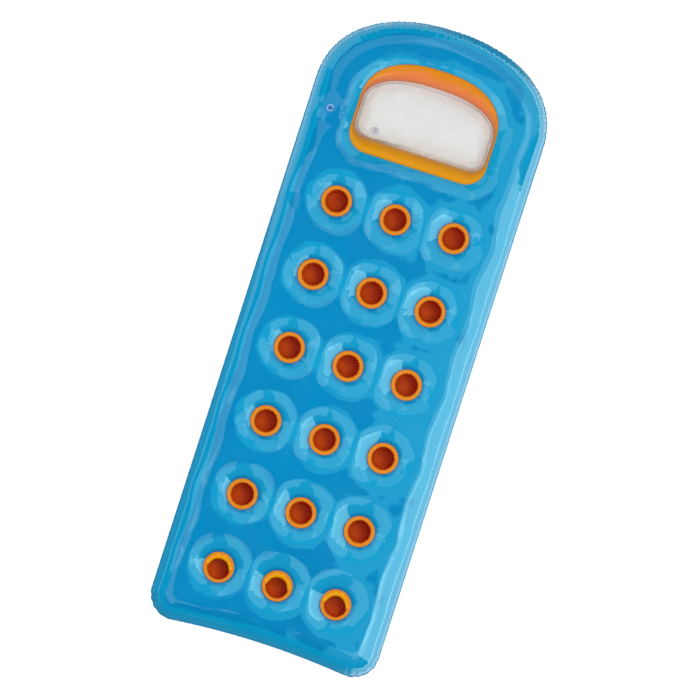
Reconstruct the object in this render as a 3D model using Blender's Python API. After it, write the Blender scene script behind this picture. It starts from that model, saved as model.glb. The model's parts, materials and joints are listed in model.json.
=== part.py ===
"""Blow-up pool lounge with sunken pockets and a see-through pillow in a window at its head.

Metres, +Z up, +Y towards the head end, +X to the right of someone standing at the foot.
The origin is under the middle of the lounge, on the surface that it lies on.
"""
import math

import bmesh
import bpy
from mathutils import Matrix, Vector
from mathutils.geometry import delaunay_2d_cdt

# Lounge, blown up, over its outer seam
LENGTH = 1.716
WIDTH = 0.632
CROWN = 0.070  # film height above the middle plane, which is half of the thickness
REST_CUT = 0.0005  # depth of the flats where the lower crowns lie on the ground
HEAD_ARC = 0.225  # how far the head end's curve reaches down the sides
HEAD_POWER = 2.2  # 2 would be an ellipse, and more is squarer
FOOT_CORNER = 0.070
FOOT_HOLLOW = 0.014  # how far the foot edge curves in between its corners
SIDE_REACH = 0.070  # width over which the side tube swells from the seam to the crown
RIDGE_FLAT = 0.018  # width of the level top of each ridge between two rows of pockets

# Film and welds
FILM = 0.0003
GAP = 0.0003  # clearance between two pieces that touch
SEAM = 0.005  # flat weld round the edge
WELD_LAP = 0.006  # film on film where a sleeve or the band is welded on
WELD_MARGIN = 0.001  # flat film left round a welded lip
WELD_LEVEL = 0.0015  # how far from a lap a film starts to rise, just past its last flat points
HOLE_PLAY = 0.0015  # how much wider a hole in a sheet is than what passes through it

# Pockets
ROW_PITCH = 0.2034
COLUMN_PITCH = 0.1624
LAST_ROW_FROM_FOOT = 0.173
WINDOW_FROM_ROW = 0.140  # least distance from a row's centres to the window
POCKET_BORE = 0.031  # radius inside the rim
POCKET_WAIST = 0.025  # radius at half height, where the floor is welded
POCKET_RIM = 0.044  # rim height above the middle plane
POCKET_REACH = 0.060  # width over which the film rises from a pocket's weld to the crown
POCKET_SIDES = 12

# Window and the band that lines it
WINDOW_HALF_WIDTH = 0.186
WINDOW_LENGTH = 0.264
WINDOW_FROM_HEAD = 0.116
WINDOW_ARC = 0.132
WINDOW_CORNER = 0.053
WINDOW_POWER = 2.4
WINDOW_RIM = 0.046
WINDOW_REACH = 0.045
BAND_SIDE = 0.006  # how far the band leans in at its waist, by side, foot and head
BAND_FOOT = 0.038
BAND_HEAD = 0.046
BAND_STEPS = 3

# Pillow in the window
PILLOW_CROWN = 0.040
PILLOW_SEAM = 0.005
PILLOW_REACH = 0.080

# Valves
MAIN_VALVE_FROM_SIDE = 0.062
MAIN_VALVE_FROM_HEAD = 0.297
PILLOW_VALVE_FROM_SIDE = 0.057
PILLOW_VALVE_FROM_FOOT = 0.022
VALVE_SIDES = 12
VALVE_HOLE = 0.010  # hole in the film that shows the valve
VALVE_BASE = 0.013  # base flange, welded under the film
VALVE_WALL = 0.0008
STEM_BORE = 0.0037
STEM_WALL = 0.0010
STEM_LENGTH = 0.018
STEM_LIP = 0.0060
STEM_PLAY = 0.0003
COLLAR_LENGTH = 0.005
PLUG_PLAY = 0.0002
PLUG_LENGTH = 0.004
PLUG_TAPER = 0.0012
CAP_RADIUS = 0.0052
CAP_WALL = 0.0010
TETHER = 0.0075  # from the stem's axis to the tether's root
TETHER_END = 0.0003  # how far the tether runs past its root's axis
FLAP_WALL = 0.0005
FLAP_PLAY = 0.0005

# Spacing of the outlines' points and of the films' points between the welds
SIDE_STEP = 0.10
HEAD_STEPS = 14
CORNER_STEPS = 3
FOOT_STEPS = 6
SIDE_RINGS = (0.134, 0.5, 1.0)  # shares of SIDE_REACH
PILLOW_RINGS = (0.1, 0.35, 0.75)  # shares of PILLOW_REACH
POCKET_RING = 0.3  # share of POCKET_REACH
WINDOW_RING = 0.35  # share of WINDOW_REACH
RIDGE_PAST = 0.2  # how far a ridge's points run past the outer columns, in column pitches
FOLD_SHARE = 0.97  # a ring's points nearer than this share of their distance lie in a fold
SLOPE_STEP = 0.004  # distance over which a film's slope is taken
BLEND_POWER = 3  # how softly neighbouring swells run together
SHARP_EDGE = math.radians(40)
MERGE = 1e-6
LEVEL_PLAY = 1e-5
FACE_ANGLE = math.radians(8)  # a face that looks along +X leans by less than this
ROUGHNESS = 0.12

MID = CROWN - REST_CUT

COLOURS = {
    "blue": (0.0, 0.28, 0.60, 1.0),
    "orange": (0.86, 0.27, 0.01, 1.0),
    "red": (0.55, 0.05, 0.005, 1.0),
    "clear": (0.85, 0.88, 0.87, 0.35),
    "valve": (0.45, 0.62, 0.85, 0.8),
}


def clear_scene():
    """Remove whatever the file held before."""
    for old in list(bpy.data.objects):
        bpy.data.objects.remove(old, do_unlink=True)


def material(name, colour):
    """A plastic finish in one of the named colours."""
    made = bpy.data.materials.new(name + "_finish")
    made.use_nodes = True
    shader = made.node_tree.nodes["Principled BSDF"]
    shader.inputs["Base Color"].default_value = COLOURS[colour]
    shader.inputs["Roughness"].default_value = ROUGHNESS
    shader.inputs["Metallic"].default_value = 0.0
    shader.inputs["Alpha"].default_value = COLOURS[colour][3]
    made.diffuse_color = COLOURS[colour]
    return made


def add_object(name, bm, colour, place=None):
    """Turn a bmesh into a named object with its own finish, at a place."""
    mesh = bpy.data.meshes.new(name)
    bm.to_mesh(mesh)
    bm.free()
    mesh.shade_smooth()
    mesh.set_sharp_from_angle(angle=SHARP_EDGE)
    obj = bpy.data.objects.new(name, mesh)
    obj.data.materials.append(material(name, colour))
    bpy.context.collection.objects.link(obj)
    if place is not None:
        obj.matrix_world = place
    return obj


def add_wall(obj, thickness):
    """Give an open surface its thickness, on the side that its faces turn away from."""
    wall = obj.modifiers.new("wall", "SOLIDIFY")
    wall.thickness = thickness
    wall.offset = -1.0
    wall.use_even_offset = True


# Flat outlines, anticlockwise, as lists of points in X and Y


def arc(centre, rx, ry, power, start, end, steps):
    """Points on a squared ellipse from one angle to another, both in quarter turns."""
    points = []
    for i in range(steps + 1):
        angle = math.pi / 2 * (start + (end - start) * i / steps)
        cos, sin = math.cos(angle), math.sin(angle)
        x = rx * math.copysign(abs(cos) ** (2 / power), cos)
        y = ry * math.copysign(abs(sin) ** (2 / power), sin)
        points.append(Vector((centre[0] + x, centre[1] + y)))
    return points


def between(start, end, steps):
    """Evenly spaced points strictly between two others."""
    return [start.lerp(end, i / steps) for i in range(1, steps)]


def circle(centre, radius, sides):
    """A ring of points round a centre."""
    turns = [2 * math.pi * i / sides for i in range(sides)]
    return [Vector((centre[0] + radius * math.cos(a), centre[1] + radius * math.sin(a))) for a in turns]


def lounge_outline():
    """The outer edge of the seam."""
    corner_x = WIDTH / 2 - FOOT_CORNER
    corner_y = -LENGTH / 2 + FOOT_CORNER
    arc_y = LENGTH / 2 - HEAD_ARC
    right = arc((corner_x, corner_y), FOOT_CORNER, FOOT_CORNER, 2, -1, 0, CORNER_STEPS)
    head = arc((0, arc_y), WIDTH / 2, HEAD_ARC, HEAD_POWER, 0, 2, HEAD_STEPS)
    left = arc((-corner_x, corner_y), FOOT_CORNER, FOOT_CORNER, 2, 2, 3, CORNER_STEPS)
    side_steps = max(2, round((arc_y - corner_y) / SIDE_STEP))
    foot = []
    for point in between(left[-1], right[0], FOOT_STEPS):
        hollow = FOOT_HOLLOW * (1 - (point.x / corner_x) ** 2)
        foot.append(point + Vector((0, hollow)))
    side_up = between(right[-1], head[0], side_steps)
    side_down = between(head[-1], left[0], side_steps)
    return right + side_up + head + side_down + left + foot


def window_outline(inset_side, inset_foot, inset_head):
    """A D-shaped outline, flat towards the foot, drawn in from the window's edge on each side."""
    share = 1 - (inset_foot + inset_head) / WINDOW_LENGTH
    half = WINDOW_HALF_WIDTH - inset_side
    top = LENGTH / 2 - WINDOW_FROM_HEAD - inset_head
    bottom = LENGTH / 2 - WINDOW_FROM_HEAD - WINDOW_LENGTH + inset_foot
    corner = WINDOW_CORNER * share
    tall = WINDOW_ARC * share
    right = arc((half - corner, bottom + corner), corner, corner, 2, -1, 0, CORNER_STEPS)
    head = arc((0, top - tall), half, tall, WINDOW_POWER, 0, 2, HEAD_STEPS)
    left = arc((corner - half, bottom + corner), corner, corner, 2, 2, 3, CORNER_STEPS)
    return right + head + left + between(left[-1], right[0], CORNER_STEPS)


def pairs(loop):
    """Each point of a closed loop with the one after it."""
    return zip(loop, loop[1:] + loop[:1])


def offset(loop, distance):
    """A closed loop moved outwards, or inwards where the distance is negative."""
    moved = []
    for before, here, after in zip(loop[-1:] + loop[:-1], loop, loop[1:] + loop[:1]):
        first = (here - before).normalized()
        second = (after - here).normalized()
        normal = Vector((first.y + second.y, -first.x - second.x)).normalized()
        spread = normal.dot(Vector((first.y, -first.x)))
        moved.append(here + normal * (distance / spread))
    return moved


def distance_to(loop, point):
    """How far a point lies from a closed loop."""
    best = math.inf
    for a, b in pairs(loop):
        edge = b - a
        along = min(max((point - a).dot(edge) / edge.length_squared, 0.0), 1.0)
        best = min(best, (point - a - edge * along).length)
    return best


def is_inside(loop, point):
    """Whether a point lies within a closed loop."""
    inside = False
    for a, b in pairs(loop):
        if (a.y > point.y) != (b.y > point.y):
            if point.x < a.x + (b.x - a.x) * (point.y - a.y) / (b.y - a.y):
                inside = not inside
    return inside


def inset_ring(loop, distance):
    """Points of a loop drawn in, without those that the drawing in folds over."""
    ring = offset(loop, -distance)
    return [p for p in ring if is_inside(loop, p) and distance_to(loop, p) > FOLD_SHARE * distance]


# Places and heights that the pieces share

OUTLINE = lounge_outline()
SEAM_LINE = offset(OUTLINE, -SEAM)
WINDOW = window_outline(0, 0, 0)
WAIST = window_outline(BAND_SIDE, BAND_FOOT, BAND_HEAD)
PILLOW_OUTLINE = offset(WAIST, -GAP)
PILLOW_LINE = offset(PILLOW_OUTLINE, -PILLOW_SEAM)
WINDOW_HOLE = offset(WINDOW, FILM + HOLE_PLAY)
WINDOW_LAP = offset(WINDOW_HOLE, WELD_LAP)
POCKET_HOLE = POCKET_BORE + FILM + HOLE_PLAY
POCKET_LAP = POCKET_HOLE + WELD_LAP


def row_heights():
    """The Y of each row of pockets, from the foot, as many as fit below the window."""
    window_foot = LENGTH / 2 - WINDOW_FROM_HEAD - WINDOW_LENGTH
    first = -LENGTH / 2 + LAST_ROW_FROM_FOOT
    count = 1 + int((window_foot - WINDOW_FROM_ROW - first) / ROW_PITCH)
    return [first + i * ROW_PITCH for i in range(count)]


def column_places():
    """The X of each column of pockets, as many as fit between the side tubes."""
    from_side = SEAM + SIDE_REACH + POCKET_LAP
    count = 1 + int((WIDTH - 2 * from_side) / COLUMN_PITCH)
    return [(i - (count - 1) / 2) * COLUMN_PITCH for i in range(count)]


ROWS = row_heights()
COLUMNS = column_places()
POCKETS = [(x, y) for y in ROWS for x in COLUMNS]


def swell(distance, reach, low, high):
    """Height of a film that leaves a weld upright and levels off, as a quarter ellipse."""
    run = min(max(distance / reach, 0.0), 1.0)
    return low + (high - low) * math.sqrt(1 - (1 - run) ** 2)


def body_height(point):
    """How far a sheet's outer face stands from the middle plane."""
    low = GAP / 2 + FILM
    if not is_inside(SEAM_LINE, point):
        return low
    heights = [swell(distance_to(SEAM_LINE, point), SIDE_REACH, low, CROWN)]
    from_window = 0.0 if is_inside(WINDOW_LAP, point) else distance_to(WINDOW_LAP, point) - WELD_LEVEL
    heights.append(swell(from_window, WINDOW_REACH, WINDOW_RIM, CROWN))
    for centre in POCKETS:
        from_pocket = (point - Vector(centre)).length - POCKET_LAP - WELD_LEVEL
        heights.append(swell(from_pocket, POCKET_REACH, POCKET_RIM, CROWN))
    drop = sum((CROWN - h) ** BLEND_POWER for h in heights) ** (1 / BLEND_POWER)
    return max(low, CROWN - drop)


def pillow_height(point):
    """How far a pillow film's outer face stands from the middle plane."""
    low = GAP / 2 + FILM
    if not is_inside(PILLOW_LINE, point):
        return low
    return swell(distance_to(PILLOW_LINE, point), PILLOW_REACH, low, PILLOW_CROWN)


def tangent_frame(height, x, y):
    """A matrix at a film's outer face, with Z square to the film and X along the lounge's width."""
    here = Vector((x, y))
    step_x = Vector((SLOPE_STEP, 0))
    step_y = Vector((0, SLOPE_STEP))
    slope_x = (height(here + step_x) - height(here - step_x)) / (2 * SLOPE_STEP)
    slope_y = (height(here + step_y) - height(here - step_y)) / (2 * SLOPE_STEP)
    normal = Vector((-slope_x, -slope_y, 1)).normalized()
    across = Vector((1, 0, slope_x)).normalized()
    turn = Matrix((across, normal.cross(across), normal)).transposed().to_4x4()
    return Matrix.Translation((x, y, MID + height(here))) @ turn


MAIN_VALVE = tangent_frame(body_height, MAIN_VALVE_FROM_SIDE - WIDTH / 2, LENGTH / 2 - MAIN_VALVE_FROM_HEAD)
PILLOW_VALVE_X = PILLOW_VALVE_FROM_SIDE + BAND_SIDE - WINDOW_HALF_WIDTH
PILLOW_VALVE_Y = LENGTH / 2 - WINDOW_FROM_HEAD - WINDOW_LENGTH + BAND_FOOT + PILLOW_VALVE_FROM_FOOT
PILLOW_VALVE = tangent_frame(pillow_height, PILLOW_VALVE_X, PILLOW_VALVE_Y)
VALVE_PATCH = VALVE_BASE + WELD_MARGIN


def on_frame(frame, radius):
    """A ring round a valve, in the plane of its film, seen from above."""
    return [(frame @ p.to_3d()).to_2d() for p in circle((0, 0), radius, VALVE_SIDES)]


def patched(height, frame):
    """The same height, but flat where a valve's base is welded under the film."""
    normal = frame.to_3x3() @ Vector((0, 0, 1))
    centre = frame.translation

    def flat_or_film(point):
        away = point - centre.to_2d()
        drop = away.dot(normal.to_2d()) / normal.z
        if Vector((away.x, away.y, -drop)).length <= VALVE_PATCH + WELD_MARGIN:
            return centre.z - drop - MID
        return height(point)

    return flat_or_film


def grounded(height):
    """The same height, cut off level where the film lies on the ground."""
    return lambda point: min(height(point), MID)


# Films


def film(name, side, loops, holes, points, height, colour):
    """A film over a flat outline with holes, lifted to its height above or below the middle plane."""
    coords = []
    edges = []
    for loop in loops:
        first = len(coords)
        coords += loop
        edges += [(first + i, first + (i + 1) % len(loop)) for i in range(len(loop))]
    coords += points
    flat, _, faces = delaunay_2d_cdt(coords, edges, [], 0, MERGE, False)[:3]
    bm = bmesh.new()
    verts = [bm.verts.new((p.x, p.y, MID + side * height(p))) for p in flat]
    for face in faces:
        centre = sum((flat[i] for i in face), Vector((0, 0))) / len(face)
        if is_inside(loops[0], centre) and not any(is_inside(hole, centre) for hole in holes):
            bm.faces.new([verts[i] for i in (face if side > 0 else reversed(face))])
    bmesh.ops.delete(bm, geom=[v for v in bm.verts if not v.link_faces], context="VERTS")
    obj = add_object(name, bm, colour)
    add_wall(obj, FILM)
    return obj


def ridge_points():
    """Points along both edges of the flat ridge between each two rows of pockets."""
    reach = COLUMNS[-1] + COLUMN_PITCH * RIDGE_PAST
    steps = 2 * len(COLUMNS)
    points = []
    for low, high in zip(ROWS, ROWS[1:]):
        for edge in (-RIDGE_FLAT / 2, RIDGE_FLAT / 2):
            y = (low + high) / 2 + edge
            for i in range(steps + 1):
                points.append(Vector((reach * (2 * i / steps - 1), y)))
    return points


def sheet(name, side, valve):
    """The upper or the lower blue sheet, with its pocket, window and valve holes."""
    pocket_holes = [circle(centre, POCKET_HOLE, POCKET_SIDES) for centre in POCKETS]
    loops = [OUTLINE, SEAM_LINE, WINDOW_HOLE, offset(WINDOW_LAP, WELD_MARGIN)] + pocket_holes
    holes = [WINDOW_HOLE] + pocket_holes
    for centre in POCKETS:
        loops.append(circle(centre, POCKET_LAP + WELD_MARGIN, POCKET_SIDES))
        loops.append(circle(centre, POCKET_LAP + POCKET_REACH * POCKET_RING, POCKET_SIDES))
    points = ridge_points()
    for share in SIDE_RINGS:
        points += inset_ring(SEAM_LINE, SIDE_REACH * share)
    points += offset(WINDOW_LAP, WINDOW_REACH * WINDOW_RING)
    height = body_height
    if valve is not None:
        hole = on_frame(valve, VALVE_HOLE)
        patch = on_frame(valve, VALVE_PATCH)
        loops += [hole, patch]
        holes.append(hole)
        near = on_frame(valve, 2 * VALVE_PATCH)
        points = [p for p in points if distance_to(near, p) > WELD_LAP and not is_inside(near, p)] + near
        height = patched(body_height, valve)
    if side < 0:
        height = grounded(body_height)
    return film(name, side, loops, holes, points, height, "blue")


def pillow_film(name, side, valve):
    """The upper or the lower clear film of the pillow."""
    loops = [PILLOW_OUTLINE, PILLOW_LINE]
    holes = []
    points = []
    for share in PILLOW_RINGS:
        points += inset_ring(PILLOW_LINE, PILLOW_REACH * share)
    height = pillow_height
    if valve is not None:
        hole = on_frame(valve, VALVE_HOLE)
        patch = on_frame(valve, VALVE_PATCH)
        loops += [hole, patch]
        holes.append(hole)
        points = [p for p in points if distance_to(patch, p) > PILLOW_SEAM and not is_inside(patch, p)]
        height = patched(pillow_height, valve)
    return film(name, side, loops, holes, points, height, "clear")


# Lofted and turned pieces


def loft(loops, ends):
    """A skin over rings of points: open, joined last to first, or capped at both ends."""
    bm = bmesh.new()
    rings = [[bm.verts.new(point) for point in loop] for loop in loops]
    joins = list(zip(rings, rings[1:]))
    if ends == "joined":
        joins.append((rings[-1], rings[0]))
    for upper, lower in joins:
        count = len(upper)
        for i in range(count):
            j = (i + 1) % count
            bm.faces.new((upper[i], upper[j], lower[j], lower[i]))
    if ends == "capped":
        bm.faces.new(rings[0])
        bm.faces.new(list(reversed(rings[-1])))
    if ends != "open":
        bmesh.ops.recalc_face_normals(bm, faces=bm.faces[:])
    return bm


def ring(radius, z, centre=(0, 0), sides=VALVE_SIDES):
    """A level ring of points."""
    return [Vector((p.x, p.y, z)) for p in circle(centre, radius, sides)]


def lifted(loop, z):
    """A flat loop at a height."""
    return [Vector((p.x, p.y, z)) for p in loop]


def pocket(index, centre):
    """The sleeve between both sheets, with a welded lip at each end, and the floor across its waist."""
    rim = POCKET_RIM + GAP + FILM
    profile = (
        (POCKET_LAP, rim),
        (POCKET_BORE, rim),
        (POCKET_WAIST, 0.0),
        (POCKET_BORE, -rim),
        (POCKET_LAP, -rim),
    )
    loops = [ring(radius, z, (0, 0), POCKET_SIDES) for radius, z in profile]
    place = Matrix.Translation((centre[0], centre[1], MID))
    add_wall(add_object(f"pocket_sleeve_{index:02d}", loft(loops, "open"), "orange", place), FILM)
    radius = POCKET_WAIST - GAP
    disc = [ring(radius, z, (0, 0), POCKET_SIDES) for z in (FILM / 2, -FILM / 2)]
    add_object(f"pocket_floor_{index:02d}", loft(disc, "capped"), "red", place)


def window_band():
    """The band from sheet to sheet round the window, swollen inwards to its waist."""
    rim = WINDOW_RIM + GAP + FILM
    upper = [lifted(WINDOW_LAP, rim)]
    for step in range(BAND_STEPS + 1):
        lean = math.sin(math.pi / 2 * step / BAND_STEPS)
        z = rim * math.cos(math.pi / 2 * step / BAND_STEPS)
        upper.append(lifted([a.lerp(b, lean) for a, b in zip(WINDOW, WAIST)], z))
    lower = [[Vector((p.x, p.y, -p.z)) for p in loop] for loop in reversed(upper[:-1])]
    place = Matrix.Translation((0, 0, MID))
    add_wall(add_object("window_band", loft(upper + lower, "open"), "orange", place), FILM)


def draw_out(bm, top, bottom, reach):
    """Draw the rim face that looks along +X, between two heights, out to a reach from the middle."""
    bm.faces.ensure_lookup_table()
    level = (top + bottom) / 2
    faces = [f for f in bm.faces if f.normal.x > math.cos(FACE_ANGLE)]
    faces = [f for f in faces if abs(f.calc_center_median().z - level) < LEVEL_PLAY]
    face = max(faces, key=lambda f: f.calc_center_median().x)
    grown = bmesh.ops.extrude_discrete_faces(bm, faces=[face])["faces"][0]
    start = grown.calc_center_median().x
    bmesh.ops.translate(bm, verts=grown.verts[:], vec=(reach - start, 0, 0))


def faced(loops):
    """The same loops turned half a side, so that a flat looks along +X."""
    turn = Matrix.Rotation(math.pi / VALVE_SIDES, 4, "Z")
    return [[turn @ p for p in loop] for loop in loops]


def valve(name, frame):
    """A soft push-in valve: base under the film, sliding stem, tethered plug and inner flap."""
    base_top = -FILM - GAP
    stem_outer = STEM_BORE + STEM_WALL
    collar = stem_outer + STEM_PLAY
    base = faced([
        ring(collar, base_top),
        ring(VALVE_BASE, base_top),
        ring(VALVE_BASE, base_top - VALVE_WALL),
        ring(collar + VALVE_WALL, base_top - VALVE_WALL),
        ring(collar + VALVE_WALL, base_top - COLLAR_LENGTH),
        ring(collar, base_top - COLLAR_LENGTH),
    ])
    add_object(name + "_base", loft(base, "joined"), "valve", frame)

    lip_bottom = base_top + GAP
    lip_top = lip_bottom + VALVE_WALL
    stem_end = lip_top - STEM_LENGTH
    stem = faced([
        ring(STEM_BORE, lip_top),
        ring(STEM_LIP, lip_top),
        ring(STEM_LIP, lip_bottom),
        ring(stem_outer, lip_bottom),
        ring(stem_outer, stem_end),
        ring(STEM_BORE, stem_end),
    ])
    bm = loft(stem, "joined")
    draw_out(bm, lip_top, lip_bottom, TETHER + 2 * STEM_WALL)
    add_object(name + "_stem", bm, "valve", frame)

    cap_bottom = lip_top + GAP
    cap_top = cap_bottom + CAP_WALL
    plug_radius = STEM_BORE - PLUG_PLAY
    plug = faced([
        ring(CAP_RADIUS, cap_top),
        ring(CAP_RADIUS, cap_bottom),
        ring(plug_radius, cap_bottom),
        ring(plug_radius - PLUG_TAPER, lip_top - PLUG_LENGTH),
    ])
    bm = loft(plug, "capped")
    draw_out(bm, cap_top, cap_bottom, TETHER + TETHER_END)
    root = Vector((TETHER, 0, (cap_top + cap_bottom) / 2))
    bmesh.ops.translate(bm, verts=bm.verts[:], vec=-root)
    add_object(name + "_plug", bm, "valve", frame @ Matrix.Translation(root))

    flap_radius = stem_outer - FLAP_PLAY
    flap_top = stem_end - GAP
    hinge = Vector((flap_radius, 0, flap_top - FLAP_WALL / 2))
    flap = faced([ring(flap_radius, z) for z in (flap_top, flap_top - FLAP_WALL)])
    bm = loft(flap, "capped")
    bmesh.ops.translate(bm, verts=bm.verts[:], vec=-hinge)
    add_object(name + "_flap", bm, "clear", frame @ Matrix.Translation(hinge))

    normal = frame.to_3x3() @ Vector((0, 0, 1))
    swing = frame.to_3x3() @ Vector((0, 1, 0))
    print(name, "slides along", tuple(round(v, 5) for v in normal))
    print(name, "plug and flap turn about", tuple(round(v, 5) for v in swing))
    print(name, "plug root at", tuple(round(v, 6) for v in frame @ root))
    print(name, "flap root at", tuple(round(v, 6) for v in frame @ hinge))


def main():
    """Make every piece of the lounge."""
    clear_scene()
    sheet("top_sheet", 1, MAIN_VALVE)
    sheet("bottom_sheet", -1, None)
    for index, centre in enumerate(POCKETS, 1):
        pocket(index, centre)
    window_band()
    pillow_film("pillow_top_film", 1, PILLOW_VALVE)
    pillow_film("pillow_bottom_film", -1, None)
    valve("main_valve", MAIN_VALVE)
    valve("pillow_valve", PILLOW_VALVE)


main()
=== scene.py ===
"""Pool lounge: its blown-up blue body, the welded pockets, the window with its clear pillow, the air
valves, and the pale studio that it lies in. Metres, +Z up, +Y towards the head end."""
import json
import math

import bmesh
import bpy
import numpy as np
from bpy.props import FloatProperty, FloatVectorProperty, IntProperty, PointerProperty
from mathutils import Matrix, Vector
from mathutils.bvhtree import BVHTree
from mathutils.geometry import delaunay_2d_cdt


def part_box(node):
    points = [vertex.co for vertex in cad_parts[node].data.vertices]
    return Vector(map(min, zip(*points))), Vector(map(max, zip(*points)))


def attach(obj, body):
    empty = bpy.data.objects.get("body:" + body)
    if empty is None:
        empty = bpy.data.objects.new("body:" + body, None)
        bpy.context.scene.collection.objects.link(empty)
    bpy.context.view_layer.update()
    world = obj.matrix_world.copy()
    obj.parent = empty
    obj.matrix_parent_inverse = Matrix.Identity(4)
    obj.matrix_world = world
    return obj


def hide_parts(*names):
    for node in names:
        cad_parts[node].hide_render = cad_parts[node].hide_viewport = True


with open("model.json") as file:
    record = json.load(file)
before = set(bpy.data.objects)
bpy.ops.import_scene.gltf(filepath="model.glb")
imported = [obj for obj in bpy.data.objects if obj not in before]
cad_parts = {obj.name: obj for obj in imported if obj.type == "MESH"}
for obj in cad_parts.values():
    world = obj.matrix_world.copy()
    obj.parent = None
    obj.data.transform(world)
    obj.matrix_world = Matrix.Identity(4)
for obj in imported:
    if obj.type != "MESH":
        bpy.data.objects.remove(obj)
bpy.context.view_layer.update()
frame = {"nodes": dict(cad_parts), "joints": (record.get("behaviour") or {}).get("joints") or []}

bl_info = {
    "name": "Pool Lounge",
    "version": (1, 0, 0),
    "blender": (4, 5, 0),
    "location": "View3D > Sidebar > Lounge",
    "description": "Models a blow-up pool lounge with sunken pockets and a clear pillow",
    "category": "Add Mesh",
}

# Places that the frame gives
LOUNGE_LOW, LOUNGE_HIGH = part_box("top_sheet")
LENGTH = LOUNGE_HIGH.y - LOUNGE_LOW.y
WIDTH = LOUNGE_HIGH.x - LOUNGE_LOW.x
SLEEVE_LOW, SLEEVE_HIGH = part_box("pocket_sleeve_01")
LAP_RADIUS = (SLEEVE_HIGH.x - SLEEVE_LOW.x) / 2
MID = (SLEEVE_HIGH.z + SLEEVE_LOW.z) / 2
LIP_TOP = SLEEVE_HIGH.z - MID
BAND_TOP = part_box("window_band")[1].z - MID
FLOORS = sorted(name for name in frame["nodes"] if name.startswith("pocket_floor"))
POCKETS = [sum(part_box(name), Vector()) / 2 for name in FLOORS]

# Widths that go with the frame's solids
FILM = 0.0003
GAP = 0.0003
WELD_LAP = 0.006
HOLE_PLAY = 0.0015
LEVEL = 0.001  # flat film left round a welded lip
PLUG_LEVEL = 0.0013  # the plug's tether over the film
LOW = GAP / 2 + FILM
SMALL = 1e-5

# The films as they are cut
FLAT_AREA_GAIN = 1.15  # what a blue film has more than the blown-up outline
PILLOW_FLAT_GAIN, PILLOW_AREA_GAIN = 1.08, 1.12  # for the pillow's bulge

# How the nets are spaced: distances from a weld in shares of the spacing
WELD_RINGS = (0.12, 0.45, 0.95, 1.6, 2.4, 3.4)
PILLOW_RINGS = (0.15, 0.55, 1.2, 2.0)
FINE = 0.55  # spacing along a weld, as a share of the film's
GROUND_EASE = 0.0012  # how softly the lower film meets the ground
LIT_DEPTH = 0.024  # how far down the leaning sleeves of the last row are lit on the head side
PAINTED_LIGHT_BEARING = math.radians(208)  # bearing of the side where light is painted into the pockets

# Where the finishes change
# The next five set where the blue film's painted light, painted reflections and painted shade fall
SADDLE_DROP = (0.0005, 0.0009)  # drops of the film between the pockets of a row
SLOPE_DROP = (0.0023, 0.0032)  # drops of the film that slopes down to a pocket
OUTER_TUBE = (0.044, 0.048)  # widths from the seam
HEM_WIDTH = (0.001, 0.016)
WELD_SHADE = (0.002, 0.013)
KNURLS = 2100.0  # the seam's knurling, radians to the metre
LIP_EDGE = (-0.0010, 0.0010)  # depths at which the lip's colour turns to the wall's
LIT_EDGE = (-0.0055, -0.0030)
FOOT_OF_PILLOW = (0.520, 0.550)  # the weld along the pillow's foot side, whose film lies double and looks dark

# Light that the studio's floor shows in reflections, and the lights: bearing from the picture's right, angle
# from the vertical, distance, size across and up, and the setting that holds the brightness
POOL_LIGHT = (2.2, 2.5, 2.7)
FLOOR_LEVEL = -0.0008
SOFT_BOXES = (
    ("right_panel", 5.752, 1.13, 0.97, (1.53, 0.82), "right_light"),
    ("box_over_panel", 6.15, 0.62, 1.5, (1.90, 0.62), "side_light"),
    ("corner_wall", 0.815, 1.128, 1.285, (1.3, 1.15), "corner_light"),
    ("head_soft_box", 1.83, 0.76, 1.75, (1.5, 0.92), "head_light"),
    ("head_wall", 2.11, 1.34, 2.23, (1.3, 1.0), "wall_light"),
    ("left_soft_box", 2.95, 0.87, 1.5, (1.2, 1.10), "left_light"),
    ("foot_left_soft_box", 3.72, 0.81, 2.60, (2.42, 1.25), "soft_light"),
    ("foot_right_soft_box", 5.04, 0.76, 1.89, (1.31, 0.66), "side_light"),
)


# Settings


def number(name, default, description, **unit):
    """A number that a user may change."""
    return FloatProperty(name=name, default=default, description=description, **unit)


def length(name, default, description):
    """A length that a user may change."""
    return number(name, default, description, unit="LENGTH")


def whole(name, default, description):
    """A whole number that a user may change."""
    return IntProperty(name=name, default=default, description=description)


def tint(name, default, description):
    """A colour that a user may change."""
    return FloatVectorProperty(name=name, default=default, description=description, subtype="COLOR")


class LoungeShape(bpy.types.PropertyGroup):
    """Sizes of the blown-up body and of the window in it."""

    crown: length("Crown", 0.066, "Film height above the middle plane before the cloth swells it")
    most_swell: length("Most swell", 0.008, "How far the cloth may carry a point of the film")
    side_reach: length("Side reach", 0.070, "Width over which the side tube rises from the seam")
    pocket_reach: length("Pocket reach", 0.060, "Width over which the film rises from a pocket's weld")
    roundness: number("Roundness", 0.9, "0.5 rises steeply from a pocket's weld, and 1 evenly")
    window_reach: length("Window reach", 0.045, "Width over which the film rises from the window's weld")
    head_arc: length("Head arc", 0.225, "How far the head end's curve reaches down the sides")
    head_power: number("Head squareness", 2.2, "2 is an ellipse, and more is squarer")
    foot_corner: length("Foot corner", 0.070, "Radius of the foot corners")
    foot_hollow: length("Foot hollow", 0.014, "How far the foot edge curves in between its corners")
    seam: length("Seam", 0.003, "Width of the weld round the edge")
    window_half: length("Window half width", 0.186, "Half of the window's width")
    window_length: length("Window length", 0.264, "Window from foot side to head side")
    window_from_head: length("Window from head", 0.116, "Film between window and head edge")
    window_arc: length("Window arc", 0.132, "Height of the window's curved head side")
    window_corner: length("Window corner", 0.053, "Radius of the window's foot corners")
    window_power: number("Window squareness", 2.4, "2 is an ellipse, and more is squarer")


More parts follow.
